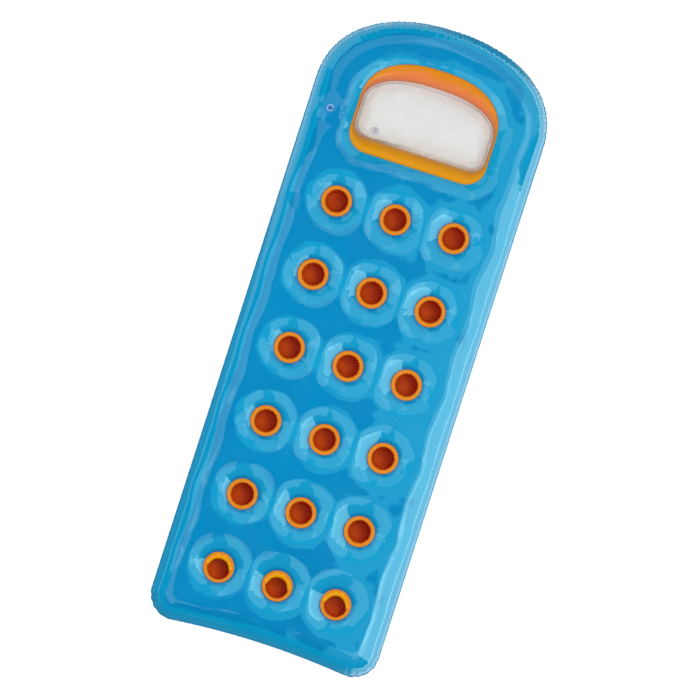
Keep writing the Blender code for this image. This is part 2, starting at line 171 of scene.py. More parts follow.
class FilmFinish(bpy.types.PropertyGroup):
    """Spacing, wrinkles and colour of the blue film."""

    grain: length("Spacing", 0.0072, "Distance between the film's points")
    cloth_grain: length("Cloth spacing", 0.012, "Distance between the cloth's points")
    growth: number("Growth", 0.02, "Share by which the cloth is larger than its start shape")
    pressure: number("Pressure", 20.0, "Air pressure inside the cloth")
    stiffness: number("Stiffness", 15.0, "How little the film stretches")
    frames: whole("Steps", 20, "Steps that the cloth takes to settle")
    pleat_pitch: length("Pleat pitch", 0.0130, "Distance between pleats on the seam")
    pleat_depth: length("Pleat depth", 0.0050, "Depth of a pleat at the seam")
    pleat_length: length("Pleat length", 0.020, "How far a pleat runs up the film")
    crease_depth: length("Crease depth", 0.0008, "Depth of a crease beside a pocket")
    seed: whole("Seed", 7, "Start of the wrinkles' random places")
    colour: tint("Blue", (0.0, 0.268, 0.572), "Colour of the blue film")
    cloud: tint("Cloudy blue", (0.0, 0.215, 0.505), "Colour of the blue film's darker clouds")
    # Deep blue is painted shade: the film darkened where it turns down into a weld's groove
    deep: tint("Deep blue", (0.0, 0.15, 0.43), "Colour of the film where it turns down to a weld")
    # Pale blue is painted light: the film between the pockets of a row lit paler, the more so towards +X
    pale: tint("Pale blue", (0.014, 0.355, 0.645), "Colour of the film between the pockets of a row")
    # Edge blue is painted reflection: the studio mirrored on the side tube's slope
    edge: tint("Edge blue", (0.0, 0.375, 0.690), "Colour of the film along the edge tube")
    # Sloping blue is painted reflection: pale rings where the film slopes down to a pocket mirrors the soft boxes
    slope_reflection: tint("Sloping blue", (0.006, 0.365, 0.655), "Colour of the film that slopes down to a pocket")
    # Hem is painted reflection: the floor's light mirrored on the steep film beside the edge seam
    hem_reflection: tint("Hem", (0.0, 0.47, 0.86), "Colour of the film beside the edge seam")


class PocketFinish(bpy.types.PropertyGroup):
    """Sizes and colours of the pockets."""

    ring: length("Ring", 0.0411, "Outer radius of the welded lip")
    bore: length("Bore", 0.0312, "Radius inside the rim")
    waist: length("Waist", 0.025, "Radius at half height")
    bead: length("Bead", 0.0016, "Rise of the welded lip")
    crimp: length("Crimp", 0.0026, "Depth of the gathers at the rim")
    crimps: whole("Gathers", 26, "Gathers round a rim")
    sides: whole("Sides", 156, "Points round a pocket")
    lean: length("Foot lean", 0.004, "Shift of the last row's floors towards the foot")
    lip_colour: tint("Lip", (0.77, 0.245, 0.006), "Colour of the welded lip")
    lip_patch: tint("Lip patches", (0.76, 0.17, 0.004), "Colour of the lip's redder patches")
    lit_side: tint("Lit side", (1.0, 0.47, 0.0), "Colour of the last row's sleeves on their lit side")
    # Painted light and painted shade: the pocket's inside orange-brown on its lit side and deep red across from
    # it
    painted_lit_inside: tint("Light side", (0.46, 0.064, 0.001), "Colour of a pocket's inside where it is palest")
    painted_shaded_inside: tint("Dark side", (0.27, 0.007, 0.002), "Colour of a pocket's inside where it is deepest")


class WindowFinish(bpy.types.PropertyGroup):
    """Sizes and colours of the window's band and of the pillow."""

    lap: length("Lap", 0.0026, "Welded lip of the band")
    band_side: length("Band lean, side", 0.006, "How far the band swells in at the side")
    band_foot: length("Band lean, foot", 0.038, "How far it swells in at the foot side")
    band_head: length("Band lean, head", 0.046, "How far it swells in at the head side")
    band_steps: whole("Band steps", 14, "Rings from the rim to the waist")
    band_colour: tint("Band", (0.74, 0.240, 0.003), "Colour of the band")
    # Band blush is painted reflection: the pillow's white mirrored on the band's head side
    band_pink_reflection: tint("Band blush", (0.88, 0.235, 0.070), "Colour of the band's head side near the pillow")
    # Band gold is painted light: the band golden on its foot side
    band_lit_gold: tint("Band gold", (0.75, 0.305, 0.0), "Colour of the band's foot side")
    pillow_crown: length("Pillow crown", 0.038, "Height of the pillow's films")
    pillow_reach: length("Pillow reach", 0.080, "Width over which the pillow rises")
    pillow_seam: length("Pillow seam", 0.005, "Width of the pillow's weld")
    pillow_grain: length("Pillow spacing", 0.005, "Distance between the pillow's points")
    pillow_growth: number("Pillow growth", 0.05, "Share by which the pillow's films are too large")
    clear: tint("Clear film", (0.87, 0.91, 0.90), "Tint of the clear film")
    weld: tint("Clear weld", (0.95, 0.95, 0.94), "Colour of the clear film's milky weld")


class ValveFinish(bpy.types.PropertyGroup):
    """Sizes and colour of the two air valves."""

    hole: length("Film hole", 0.010, "Radius of the hole")
    base: length("Base", 0.013, "Radius of the base's flange")
    patch: length("Patch", 0.014, "Radius of the level film")
    wall: length("Wall", 0.0008, "Wall of the base")
    bore: length("Bore", 0.0037, "Radius of the stem's bore")
    stem: length("Stem", 0.0047, "Outer radius of the stem")
    lip: length("Lip", 0.0060, "Radius of the stem's lip")
    length: length("Stem length", 0.018, "Length of the stem")
    cap: length("Cap", 0.0052, "Radius of the plug's cap")
    tether: length("Tether", 0.0075, "Tether's root from the axis")
    sides: whole("Sides", 48, "Points round a valve")
    colour: tint("Valve", (0.28, 0.58, 0.98), "Colour of the flange")
    plug_colour: tint("Plug", (0.01, 0.15, 0.50), "Colour of the stem and the plug")
    clear: tint("Clear valve", (0.80, 0.80, 0.92), "Colour of the pillow's valve")


class StudioLook(bpy.types.PropertyGroup):
    """Camera and lights."""

    view_width: length("View width", 1.844, "Width that the camera takes in")
    distance: length("Camera height", 20.0, "Camera's height over the lounge")
    turn: number("Turn", math.radians(17.85), "Camera's turn about the vertical", subtype="ANGLE")
    aim_x: length("Aim X", -0.0147, "Point under the camera")
    aim_y: length("Aim Y", -0.0286, "Point under the camera")
    right_light: number("Right light", 2.3, "Brightness of the near right panel")
    side_light: number("Side light", 0.9, "Brightness of the box over the panel")
    soft_light: number("Soft light", 0.80, "Brightness of the foot's left soft box")
    head_light: number("Head light", 0.55, "Brightness of the head soft box")
    left_light: number("Left light", 0.85, "Brightness of the near left box")
    corner_light: number("Corner light", 0.55, "Brightness of the low corner wall")
    wall_light: number("Head wall", 0.7, "Brightness of the wall at the head's left")
    top_light: number("Top light", 2.3, "Brightness of the light overhead")
    room_light: number("Room", 0.62, "Brightness that the room lights with")
    room_gloss: number("Room in gloss", 0.06, "Brightness of the room's reflection")


# Shader maths


class Wire:
    """A shader value that Python's operators work on, each adding its Math node."""

    def __init__(self, finish, socket):
        self.finish, self.socket = finish, socket

    def math(self, operation, first, second):
        """The result of a Math node."""
        return self.finish.node("ShaderNodeMath", {"operation": operation}, {0: first, 1: second})

    def __add__(self, other):
        return self.math("ADD", self, other)

    def __radd__(self, other):
        return self.math("ADD", other, self)

    def __sub__(self, other):
        return self.math("SUBTRACT", self, other)

    def __rsub__(self, other):
        return self.math("SUBTRACT", other, self)

    def __mul__(self, other):
        return self.math("MULTIPLY", self, other)

    def __rmul__(self, other):
        return self.math("MULTIPLY", other, self)


class Finish:
    """A material, or a world, in the making."""

    def __init__(self, block):
        self.block = block
        block.use_nodes = True
        block.node_tree.nodes.clear()

    def node(self, kind, settings=None, inputs=None, out=0):
        """Add a node, give it its settings and its sockets' values or links, and return one output."""
        made = self.block.node_tree.nodes.new(kind)
        for key, value in (settings or {}).items():
            setattr(made, key, value)
        for key, value in (inputs or {}).items():
            if isinstance(value, Wire):
                self.block.node_tree.links.new(value.socket, made.inputs[key])
            else:
                made.inputs[key].default_value = value
        return Wire(self, made.outputs[out]) if made.outputs else None

    def place(self):
        """The point on the piece, in metres."""
        return self.node("ShaderNodeTexCoord", out="Object")

    def along(self, axis):
        """One coordinate of the point on the piece."""
        return self.node("ShaderNodeSeparateXYZ", inputs={0: self.place()}, out=axis)

    def ray(self, kind):
        """Whether the light's path is of a kind."""
        return self.node("ShaderNodeLightPath", out=kind)

    def value_of(self, attribute):
        """A number that the mesh holds at each point."""
        return self.node("ShaderNodeAttribute", {"attribute_name": attribute}, out="Fac")

    def noise(self, scale, detail=2.0):
        """Soft random patches, about 1 / scale metres across."""
        inputs = {"Vector": self.place(), "Scale": scale, "Detail": detail, "Roughness": 0.5}
        return self.node("ShaderNodeTexNoise", inputs=inputs, out="Fac")

    def ease(self, value, low, high, start=0.0, end=1.0):
        """A value carried smoothly from one range to another and held at its ends."""
        inputs = {"Value": value, "From Min": low, "From Max": high, "To Min": start, "To Max": end}
        return self.node("ShaderNodeMapRange", {"interpolation_type": "SMOOTHSTEP"}, inputs)

    def blend(self, share, first, second):
        """A colour between two others."""
        first, second = (c if isinstance(c, Wire) else (*c, 1.0) for c in (first, second))
        inputs = {"Factor": share, 6: first, 7: second}
        return self.node("ShaderNodeMix", {"data_type": "RGBA"}, inputs, out=2)

    def bump(self, height, strength, depth, under=None):
        """A relief of a real depth."""
        inputs = {"Height": height, "Strength": strength, "Distance": depth}
        if under is not None:
            inputs["Normal"] = under
        return self.node("ShaderNodeBump", inputs=inputs)

    def plastic(self, **values):
        """Close the material with glossy plastic."""
        inputs = {key.replace("_", " ").title().replace("Ior", "IOR"): value for key, value in values.items()}
        shader = self.node("ShaderNodeBsdfPrincipled", inputs=inputs)
        self.node("ShaderNodeOutputMaterial", inputs={"Surface": shader})
        return self.block


def new_finish(name):
    """A new material."""
    return Finish(bpy.data.materials.new(name))


# Outlines, as arrays of points in X and Y


def arc(centre, rx, ry, power, start, end, steps):
    """Points on a squared ellipse from one angle to another, both in quarter turns."""
    angle = math.pi / 2 * (start + (end - start) * np.arange(steps + 1) / steps)
    cos, sin = np.cos(angle), np.sin(angle)
    x = centre[0] + rx * np.sign(cos) * abs(cos) ** (2 / power)
    y = centre[1] + ry * np.sign(sin) * abs(sin) ** (2 / power)
    return np.stack([x, y], 1)


def circle(centre, radius, sides):
    """A ring of points."""
    angle = 2 * math.pi * np.arange(sides) / sides
    return np.stack([centre[0] + radius * np.cos(angle), centre[1] + radius * np.sin(angle)], 1)


def arched(half, bottom, top, corner, tall, power, steps):
    """An outline's foot corners, its sides and the arch between them: all but the foot side."""
    in_corner, in_side, in_arch = steps
    right = arc((half - corner, bottom + corner), corner, corner, 2, -1, 0, in_corner)
    arch = arc((0, top - tall), half, tall, power, 0, 2, in_arch)
    left = arc((corner - half, bottom + corner), corner, corner, 2, 2, 3, in_corner)
    up = np.linspace(right[-1], arch[0], in_side)[1:-1]
    down = np.linspace(arch[-1], left[0], in_side)[1:-1]
    return [right, up, arch, down, left]


def lounge_outline(shape):
    """The outer edge of the seam."""
    corner = shape.foot_corner
    sides = arched(WIDTH / 2, -LENGTH / 2, LENGTH / 2, corner, shape.head_arc, shape.head_power, (24, 2, 140))
    x = WIDTH / 2 - corner
    across = np.linspace(-x, x, 60)[1:-1]
    foot = np.stack([across, -LENGTH / 2 + shape.foot_hollow * (1 - (across / x) ** 2)], 1)
    return np.vstack([*sides, foot])


def window_outline(shape, side=0.0, foot=0.0, head=0.0):
    """A D-shaped outline, flat towards the foot, drawn in from the window's edge on each side."""
    share = 1 - (foot + head) / shape.window_length
    top = LENGTH / 2 - shape.window_from_head - head
    bottom = LENGTH / 2 - shape.window_from_head - shape.window_length + foot
    sides = arched(
        shape.window_half - side, bottom, top, shape.window_corner * share, shape.window_arc * share,
        shape.window_power, (16, 8, 90))
    base = np.linspace(sides[-1][-1], sides[0][0], 40)[1:-1]
    return np.vstack([*sides, base])


def waist_outline(shape, settings):
    """The window band's narrowest outline, at half height."""
    return window_outline(shape, settings.band_side, settings.band_foot, settings.band_head)


def offset(loop, distance):
    """A closed loop moved outwards, or inwards where the distance is negative."""
    first = loop - np.roll(loop, 1, 0)
    second = np.roll(loop, -1, 0) - loop
    first /= np.linalg.norm(first, axis=1)[:, None]
    second /= np.linalg.norm(second, axis=1)[:, None]
    normal = np.stack([first[:, 1] + second[:, 1], -first[:, 0] - second[:, 0]], 1)
    normal /= np.linalg.norm(normal, axis=1)[:, None]
    spread = normal[:, 0] * first[:, 1] - normal[:, 1] * first[:, 0]
    return loop + normal * (distance / spread)[:, None]


def loop_runs(loop):
    """A loop with its first point again at its end, and how far along it each point lies."""
    closed = np.vstack([loop, loop[:1]])
    return closed, np.concatenate([[0], np.cumsum(np.linalg.norm(np.diff(closed, axis=0), axis=1))])


def evenly(loop, step):
    """The same loop with its points one step apart."""
    closed, runs = loop_runs(loop)
    count = round(runs[-1] / step)
    places = np.arange(count) * (runs[-1] / count)
    return np.stack([np.interp(places, runs, closed[:, 0]), np.interp(places, runs, closed[:, 1])], 1)


def away_from(loop, points):
    """How far each point lies from a closed loop, and how far along the loop it lies."""
    best = np.full(len(points), math.inf)
    along = np.zeros(len(points))
    run = 0.0
    for a, b in zip(loop, np.roll(loop, -1, 0)):
        edge = b - a
        size = math.hypot(*edge)
        share = np.clip((points - a) @ edge / size ** 2, 0, 1)
        away = np.hypot(*(points - a - share[:, None] * edge).T)
        closer = away < best
        best[closer] = away[closer]
        along[closer] = run + share[closer] * size
        run += size
    return best, along


def within(loop, points):
    """Whether each point lies inside a closed loop."""
    found = np.zeros(len(points), bool)
    for a, b in zip(loop, np.roll(loop, -1, 0)):
        if a[1] != b[1]:
            spans = (a[1] > points[:, 1]) != (b[1] > points[:, 1])
            side = a[0] + (b[0] - a[0]) * (points[:, 1] - a[1]) / (b[1] - a[1])
            found ^= spans & (points[:, 0] < side)
    return found


def drawn_in(loop, distance, step):
    """Points of a loop drawn in, without those where it folds over."""
    ring = evenly(offset(loop, -distance), step)
    ring = ring[within(loop, ring)]
    return ring[away_from(loop, ring)[0] > 0.98 * distance]


def outward_of(loop, points):
    """The level direction from the inside of a loop out to it, at each point."""
    step = 0.0005
    away = away_from(loop, points)[0]
    side = np.where(within(loop, points), -1.0, 1.0)
    right = away_from(loop, points + (step, 0))[0]
    up = away_from(loop, points + (0, step))[0]
    slope = np.stack([right - away, up - away], 1) * side[:, None]
    return slope / np.maximum(np.linalg.norm(slope, axis=1)[:, None], SMALL)


def loop_area(loop):
    """The area inside a closed loop."""
    after = np.roll(loop, -1, 0)
    return abs((loop[:, 0] * after[:, 1] - loop[:, 1] * after[:, 0]).sum()) / 2


def lattice(low, high, step):
    """Points of a triangular grid."""
    rows = []
    for index, y in enumerate(np.arange(low[1], high[1], step * math.sqrt(0.75))):
        x = np.arange(low[0] + (index % 2) * step / 2, high[0], step)
        rows.append(np.stack([x, np.full(len(x), y)], 1))
    return np.vstack(rows)


def triangulated(loops, holes, points):
    """Triangles between an outer loop and its holes that use all the points given."""
    spots = []
    edges = []
    for loop in loops:
        first = len(spots)
        spots += [Vector(p) for p in loop]
        edges += [(first + i, first + (i + 1) % len(loop)) for i in range(len(loop))]
    spots += [Vector(p) for p in points]
    flat, _, faces = delaunay_2d_cdt(spots, edges, [], 0, 1e-6, False)[:3]
    flat = np.array([tuple(p) for p in flat])
    faces = np.array([f for f in faces if len(f) == 3])
    centres = flat[faces].mean(1)
    kept = within(loops[0], centres)
    for hole in holes:
        kept &= ~within(hole, centres)
    faces = faces[kept]
    used = np.unique(faces)
    place = np.zeros(len(flat), int)
    place[used] = np.arange(len(used))
    return flat[used], place[faces]


def smoothed(faces, field, fixed, rounds):
    """A field over a mesh, evened out between its fixed points."""
    ends = np.vstack([faces[:, [0, 1]], faces[:, [1, 2]], faces[:, [2, 0]]])
    ends = np.vstack([ends, ends[:, ::-1]])
    count = np.bincount(ends[:, 0], minlength=len(field))[:, None]
    for _ in range(rounds):
        total = np.zeros_like(field)
        np.add.at(total, ends[:, 0], field[ends[:, 1]])
        moved = 0.5 * field + 0.5 * total / count
        field = np.where(fixed[:, None], field, moved)
    return field


def capped(shift, most):
    """Shifts held under a length."""
    size = np.linalg.norm(shift, axis=1)[:, None]
    return shift * (most * np.tanh(size / most) / np.maximum(size, SMALL))


def swell(distance, reach, low, high, power=0.5):
    """Height of a film that leaves a weld and levels off: a quarter ellipse, or flatter with more power."""
    run = np.clip(distance / reach, 0, 1)
    return low + (high - low) * (1 - (1 - run) ** 2) ** power


def step_up(value, low, high):
    """A smooth step from 0 to 1."""
    run = np.clip((value - low) / (high - low), 0, 1)
    return run * run * (3 - 2 * run)


def together(drops):
    """Drops that run into one another without an edge."""
    return sum(drop ** 3 for drop in drops) ** (1 / 3)


# Pieces


def add_piece(name, points, faces):
    """A mesh object from arrays."""
    mesh = bpy.data.meshes.new(name)
    mesh.from_pydata(points.tolist(), [], faces.tolist() if hasattr(faces, "tolist") else faces)
    mesh.update()
    piece = bpy.data.objects.new(name, mesh)
    bpy.context.scene.collection.objects.link(piece)
    return piece


def points_of(piece):
    """A piece's points as an array."""
    found = np.empty(len(piece.data.vertices) * 3)
    piece.data.vertices.foreach_get("co", found)
    return found.reshape(-1, 3)


def store(piece, **fields):
    """Keep a number for each point on the mesh, for its material."""
    for name, values in fields.items():
        attribute = piece.data.attributes.new(name, "FLOAT", "POINT")
        attribute.data.foreach_set("value", values.astype(np.float32))


def only(piece):
    """Make a piece the one that Blender's operators act on."""
    bpy.ops.object.select_all(action="DESELECT")
    piece.select_set(True)
    bpy.context.view_layer.objects.active = piece


def apply_all(piece):
    """Apply every modifier."""
    only(piece)
    for modifier in list(piece.modifiers):
        bpy.ops.object.modifier_apply(modifier=modifier.name)


def walled(piece, thickness):
    """Give a film its thickness, on the side that its faces turn away from."""
    wall = piece.modifiers.new("wall", "SOLIDIFY")
    wall.thickness = thickness
    wall.offset = -1.0
    wall.use_even_offset = False
    apply_all(piece)


def finished(piece, body, material, node):
    """Give a piece its finish and smooth shading, parent it to its body's empty, and hide the solid that it
    stands for.
    """
    piece.data.materials.clear()
    piece.data.materials.append(material)
    piece.data.shade_smooth()
    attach(piece, body)
    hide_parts(node)


def finished_film(piece, material, node, rests_on, wall=FILM):
    """Give a film of the lounge its thickness and finish it; what holds it (rests_on) is not used."""
    walled(piece, wall)
    finished(piece, "lounge", material, node)


def blown_up(points, faces, held, growth, pressure, stiffness, frames):
    """Where the points of a film go when it is held at its welds and blown up as cloth."""
    piece = add_piece("cloth", points, faces)
    group = piece.vertex_groups.new(name="held")
    group.add([int(i) for i in np.flatnonzero(held)], 1.0, "REPLACE")
    cloth = piece.modifiers.new("cloth", "CLOTH")
    values = {
        "quality": 6, "mass": 0.002, "tension_stiffness": stiffness, "compression_stiffness": stiffness,
        "shear_stiffness": stiffness / 3, "bending_stiffness": 0.02, "tension_damping": 2,
        "compression_damping": 2, "shear_damping": 2, "bending_damping": 0.2, "air_damping": 1,
        "use_pressure": True, "uniform_pressure_force": pressure, "vertex_group_mass": "held",
        "shrink_min": -growth}
    for key, value in values.items():
        setattr(cloth.settings, key, value)
    cloth.settings.effector_weights.gravity = 0
    cloth.collision_settings.use_collision = False
    cloth.point_cache.frame_start = 1
    cloth.point_cache.frame_end = frames + 1
    for step in range(1, frames + 1):
        bpy.context.scene.frame_set(step)
    apply_all(piece)
    moved = points_of(piece)
    bpy.data.objects.remove(piece)
    bpy.context.scene.frame_set(1)
    return moved


def carried(points, cloth_points, cloth_faces, shift):
    """The cloth's shift at other points of the same film."""
    level = [Vector((x, y, 0)) for x, y in cloth_points]
    tree = BVHTree.FromPolygons(level, cloth_faces.tolist())
    found = np.zeros((len(points), 3))
    for index, (x, y) in enumerate(points):
        spot, _, face, _ = tree.find_nearest(Vector((x, y, 0)))
        corners = cloth_faces[face]
        found[index] = barycentric(spot, *(level[corner] for corner in corners)) @ shift[corners]
    return found


def barycentric(point, a, b, c):
    """The shares of a triangle's corners in a point of it, all level."""
    total = (b - a).cross(c - a).z
    first = (b - point).cross(c - point).z / total
    second = (c - point).cross(a - point).z / total
    return np.array([first, second, 1 - first - second])


def normals_of(points, faces):
    """Outward directions at the points of a film."""
    a, b, c = points[faces[:, 0]], points[faces[:, 1]], points[faces[:, 2]]
    across = np.cross(b - a, c - a)
    total = np.zeros_like(points)
    for corner in range(3):
        np.add.at(total, faces[:, corner], across)
    return total / np.linalg.norm(total, axis=1)[:, None]


def valve_frame(name):
    """Where a valve stands: its Z square to the film and its X towards the plug's tether."""
    joints = {joint["name"]: joint for joint in frame["joints"]}
    normal = Vector(joints[name + "_valve_pull"]["axis"]).normalized()
    swing = joints[name + "_plug_open"]
    across = Vector(swing["axis"]).cross(normal).normalized()
    turn = Matrix((across, normal.cross(across), normal)).transposed().to_4x4()
    tether = bpy.context.scene.lounge_valves.tether
    root = Vector(swing["pos_m"])
    return Matrix.Translation(root - across * tether - normal * PLUG_LEVEL) @ turn


class Film:
    """One film of a blown-up piece: its outline, welds and height over the middle plane."""

    def __init__(self, edge, seam, valve):
        self.edge, self.seam, self.valve = edge, seam, valve

    def from_seam(self, points):
        """How far each point lies from the seam, and 0 on it."""
        return np.where(within(self.seam, points), away_from(self.seam, points)[0], 0.0)

    def near_valve(self, points):
        """Each point's distance from the valve and the height of its level patch."""
        centre = self.valve.translation
        normal = self.valve.to_3x3() @ Vector((0, 0, 1))
        away = points - np.array(centre.xy)
        drop = (away[:, 0] * normal.x + away[:, 1] * normal.y) / normal.z
        return np.sqrt((away ** 2).sum(1) + drop ** 2), centre.z - drop - MID

    def levelled(self, points, height):
        """The height, carried smoothly to the level patch round the valve."""
        if self.valve is None:
            return height
        patch = bpy.context.scene.lounge_valves.patch
        away, level = self.near_valve(points)
        return level + (height - level) * step_up(away, patch + LEVEL, 3.2 * patch)

    def held(self, points):
        """Which points the welds hold."""
        still = ~within(self.seam, points) | (away_from(self.seam, points)[0] < SMALL)
        if self.valve is not None:
            still |= self.near_valve(points)[0] <= bpy.context.scene.lounge_valves.patch + LEVEL
        return still

    def valve_ring(self, radius):
        """A ring round the valve, seen from above."""
        ring = circle((0, 0), radius, bpy.context.scene.lounge_valves.sides)
        return np.array([(self.valve @ Vector((*p, 0))).xy for p in ring])

    def netted(self, loops, holes, points, *shares):
        """The film's triangles, with room for the valve: clear to the first share of its patch, with rings of
        points at the others."""
        if self.valve is not None:
            valves = bpy.context.scene.lounge_valves
            clear, *rings = [self.valve_ring(share * valves.patch) for share in shares]
            points = np.vstack([points[~within(clear, points)], *rings])
            holes.append(self.valve_ring(valves.hole))
            loops += [holes[-1], self.valve_ring(valves.patch)]
        return triangulated(loops, holes, points)


class LoungeFilm(Film):
    """The upper blue film; the lower one is its mirror image without a valve."""

    def __init__(self, shape, valve=None):
        edge = lounge_outline(shape)
        super().__init__(edge, offset(edge, -shape.seam), valve)
        self.shape = shape
        window = window_outline(shape)
        self.window_hole = offset(window, HOLE_PLAY)
        self.window_lap = offset(window, bpy.context.scene.lounge_window.lap)
        self.ring = bpy.context.scene.lounge_pockets.ring

    def pocket_distance(self, points):
        """Distance to the nearest pocket's weld."""
        centres = np.array([p.xy for p in POCKETS])
        away = np.hypot(points[:, None, 0] - centres[:, 0], points[:, None, 1] - centres[:, 1])
        return away.min(1) - self.ring

    def window_distance(self, points):
        """Distance to the window's weld, and 0 inside it."""
        away = away_from(self.window_lap, points)[0]
        return np.where(within(self.window_lap, points), 0.0, away)

    def height(self, points):
        """How far the film stands from the middle plane, before it is blown up."""
        shape = self.shape
        edge_drop = shape.crown - swell(self.from_seam(points), shape.side_reach, LOW, shape.crown)
        drop = together([edge_drop, self.window_drop(points), self.sunk(points)])
        return self.levelled(points, np.maximum(LOW, shape.crown - drop))

    def drop_to(self, lip, away, reach):
        """How far a weld draws the film down, from the distance to it."""
        shape = self.shape
        return shape.crown - swell(away, reach, lip - GAP - FILM, shape.crown, shape.roundness)

    def window_drop(self, points):
        """How far the window draws the film down."""
        away = np.maximum(self.window_distance(points) - LEVEL, 0)
        return self.drop_to(BAND_TOP, away, self.shape.window_reach)

    def sunk(self, points):
        """How far the pockets draw the film down."""
        aways = [np.hypot(*(points - np.array(centre.xy)).T) - self.ring - LEVEL for centre in POCKETS]
        return together([self.drop_to(LIP_TOP, away, self.shape.pocket_reach) for away in aways])

    def held(self, points):
        """Which points the welds hold."""
        return (super().held(points) | (self.window_distance(points) <= LEVEL)
                | (self.pocket_distance(points) <= LEVEL))

    def net(self, grain, creases=()):
        """The film's points and triangles, closest together at the welds."""
        fine = grain * FINE
        rings = [grain * share for share in WELD_RINGS]
        holes = [evenly(self.window_hole, fine)]
        loops = [evenly(self.edge, fine), evenly(self.seam, fine), holes[0],
                 evenly(offset(self.window_lap, LEVEL), fine)]
        points = [drawn_in(self.seam, ring, fine) for ring in rings]
        points += [evenly(offset(self.window_lap, LEVEL + ring), grain * 0.8) for ring in rings[:4]]
        for centre in POCKETS:
            holes.append(circle(centre, LAP_RADIUS - WELD_LAP, 44))
            loops += [holes[-1], circle(centre, self.ring + LEVEL, 60)]
            points += [circle(centre, self.ring + LEVEL + ring, 60) for ring in rings[:5]]
        rest = lattice(LOUNGE_LOW, LOUNGE_HIGH, grain)
        rest = rest[within(self.seam, rest) & ~within(self.window_lap, rest)]
        room = grain * 0.7
        rest = rest[away_from(self.seam, rest)[0] > rings[5] + room]
        rest = rest[self.window_distance(rest) > rings[3] + room]
        rest = rest[self.pocket_distance(rest) > rings[4] + room]
        for crease in creases:
            rest = rest[crease.away(rest) > 3.2 * crease.width]
        points += [crease.rows(fine) for crease in creases]
        return self.netted(loops, holes, np.vstack([*points, rest]), 2.25, 1.25, 1.6, 2.0)


class Crease:
    """A short fold line in a film."""

    def __init__(self, start, end, depth, width):
        self.start, self.run = start, end - start
        self.depth, self.width = depth, width

    def share(self, points):
        """How far along the crease each point lies."""
        return np.clip((points - self.start) @ self.run / (self.run @ self.run), 0, 1)

    def away(self, points):
        """How far each point lies from the crease."""
        return np.hypot(*(points - self.start - self.share(points)[:, None] * self.run).T)

    def rows(self, step):
        """Rows of points along both sides of the crease."""
        size = np.hypot(*self.run)
        aside = np.array([-self.run[1], self.run[0]]) / size * self.width
        places = np.linspace(0.02, 0.98, max(4, round(size / step)))[:, None]
        return np.vstack([self.start + places * self.run + aside * row for row in (-2.2, -1.1, 0, 1.1, 2.2)])

    def drop(self, points):
        """How deep the crease is at each point."""
        near = self.away(points) / self.width
        return self.depth * np.exp(-near ** 2) * np.sin(math.pi * np.clip(self.share(points), 0.04, 0.96)) ** 0.7


def pocket_creases(settings, rng):
    """Short folds in the film between neighbouring pockets and beside the outer ones."""
    creases = []
    pitch = min(abs(a.x - b.x) for a in POCKETS for b in POCKETS if abs(a.x - b.x) > LAP_RADIUS)
    for centre in POCKETS:
        for side in (-1, -1, 1, 1):
            turn = rng.uniform(-0.55, 0.55)
            start = LAP_RADIUS + rng.uniform(0.008, 0.016)
            size = rng.uniform(0.014, 0.030)
            begin = np.array(centre.xy) + np.array([side * math.cos(turn), math.sin(turn)]) * start
            end = begin + np.array([side * math.cos(1.6 * turn), math.sin(1.6 * turn)]) * size
            if abs(end[0] - centre.x) < pitch / 2 - 0.002:
                depth = settings.crease_depth * rng.uniform(0.5, 1.2)
                creases.append(Crease(begin, end, depth, rng.uniform(0.0022, 0.0034)))
    return creases


def gathered(film, settings, points, rng):
    """How deep the pleats along the seam are at each point, as a share of the full depth."""
    along, away = away_from(film.seam, points)[1], film.from_seam(points)
    closed, runs = loop_runs(film.seam)
    pitch = settings.pleat_pitch
    found = np.zeros(len(points))
    place = 0.0
    while place < runs[-1] - pitch / 2:
        x, y = np.interp(place, runs, closed[:, 0]), np.interp(place, runs, closed[:, 1])
        strength = pleat_strength(film.shape, x, y)
        roomy = 1.7 if y < 0 and strength > 0.3 else 1.0
        depth = strength * rng.uniform(0.45, 1.0)
        reach = settings.pleat_length * rng.uniform(0.5, 1.3) * (0.5 + 0.5 * strength)
        width = pitch * rng.uniform(0.16, 0.24) * roomy
        apart = abs(along - place)
        apart = np.minimum(apart, runs[-1] - apart)
        found += depth * np.exp(-(apart / width) ** 2 - (away / reach) ** 2)
        place += pitch * rng.uniform(0.75, 1.25) * (2.4 - 1.4 * strength) * roomy
    return found


def pleat_strength(shape, x, y):
    """Pleats are deep where the seam curves, and slight where it runs straight."""
    head = step_up(y, LENGTH / 2 - 1.15 * shape.head_arc, LENGTH / 2 - 0.75 * shape.head_arc)
    beside, below = abs(x) - (WIDTH / 2 - shape.foot_corner), y + LENGTH / 2 - shape.foot_corner
    foot = 1 - step_up(abs(math.hypot(beside, below) - shape.foot_corner), 0.012, 0.035)
    return max(0.16, head, foot if beside > 0 and below < 0 else 0.0)


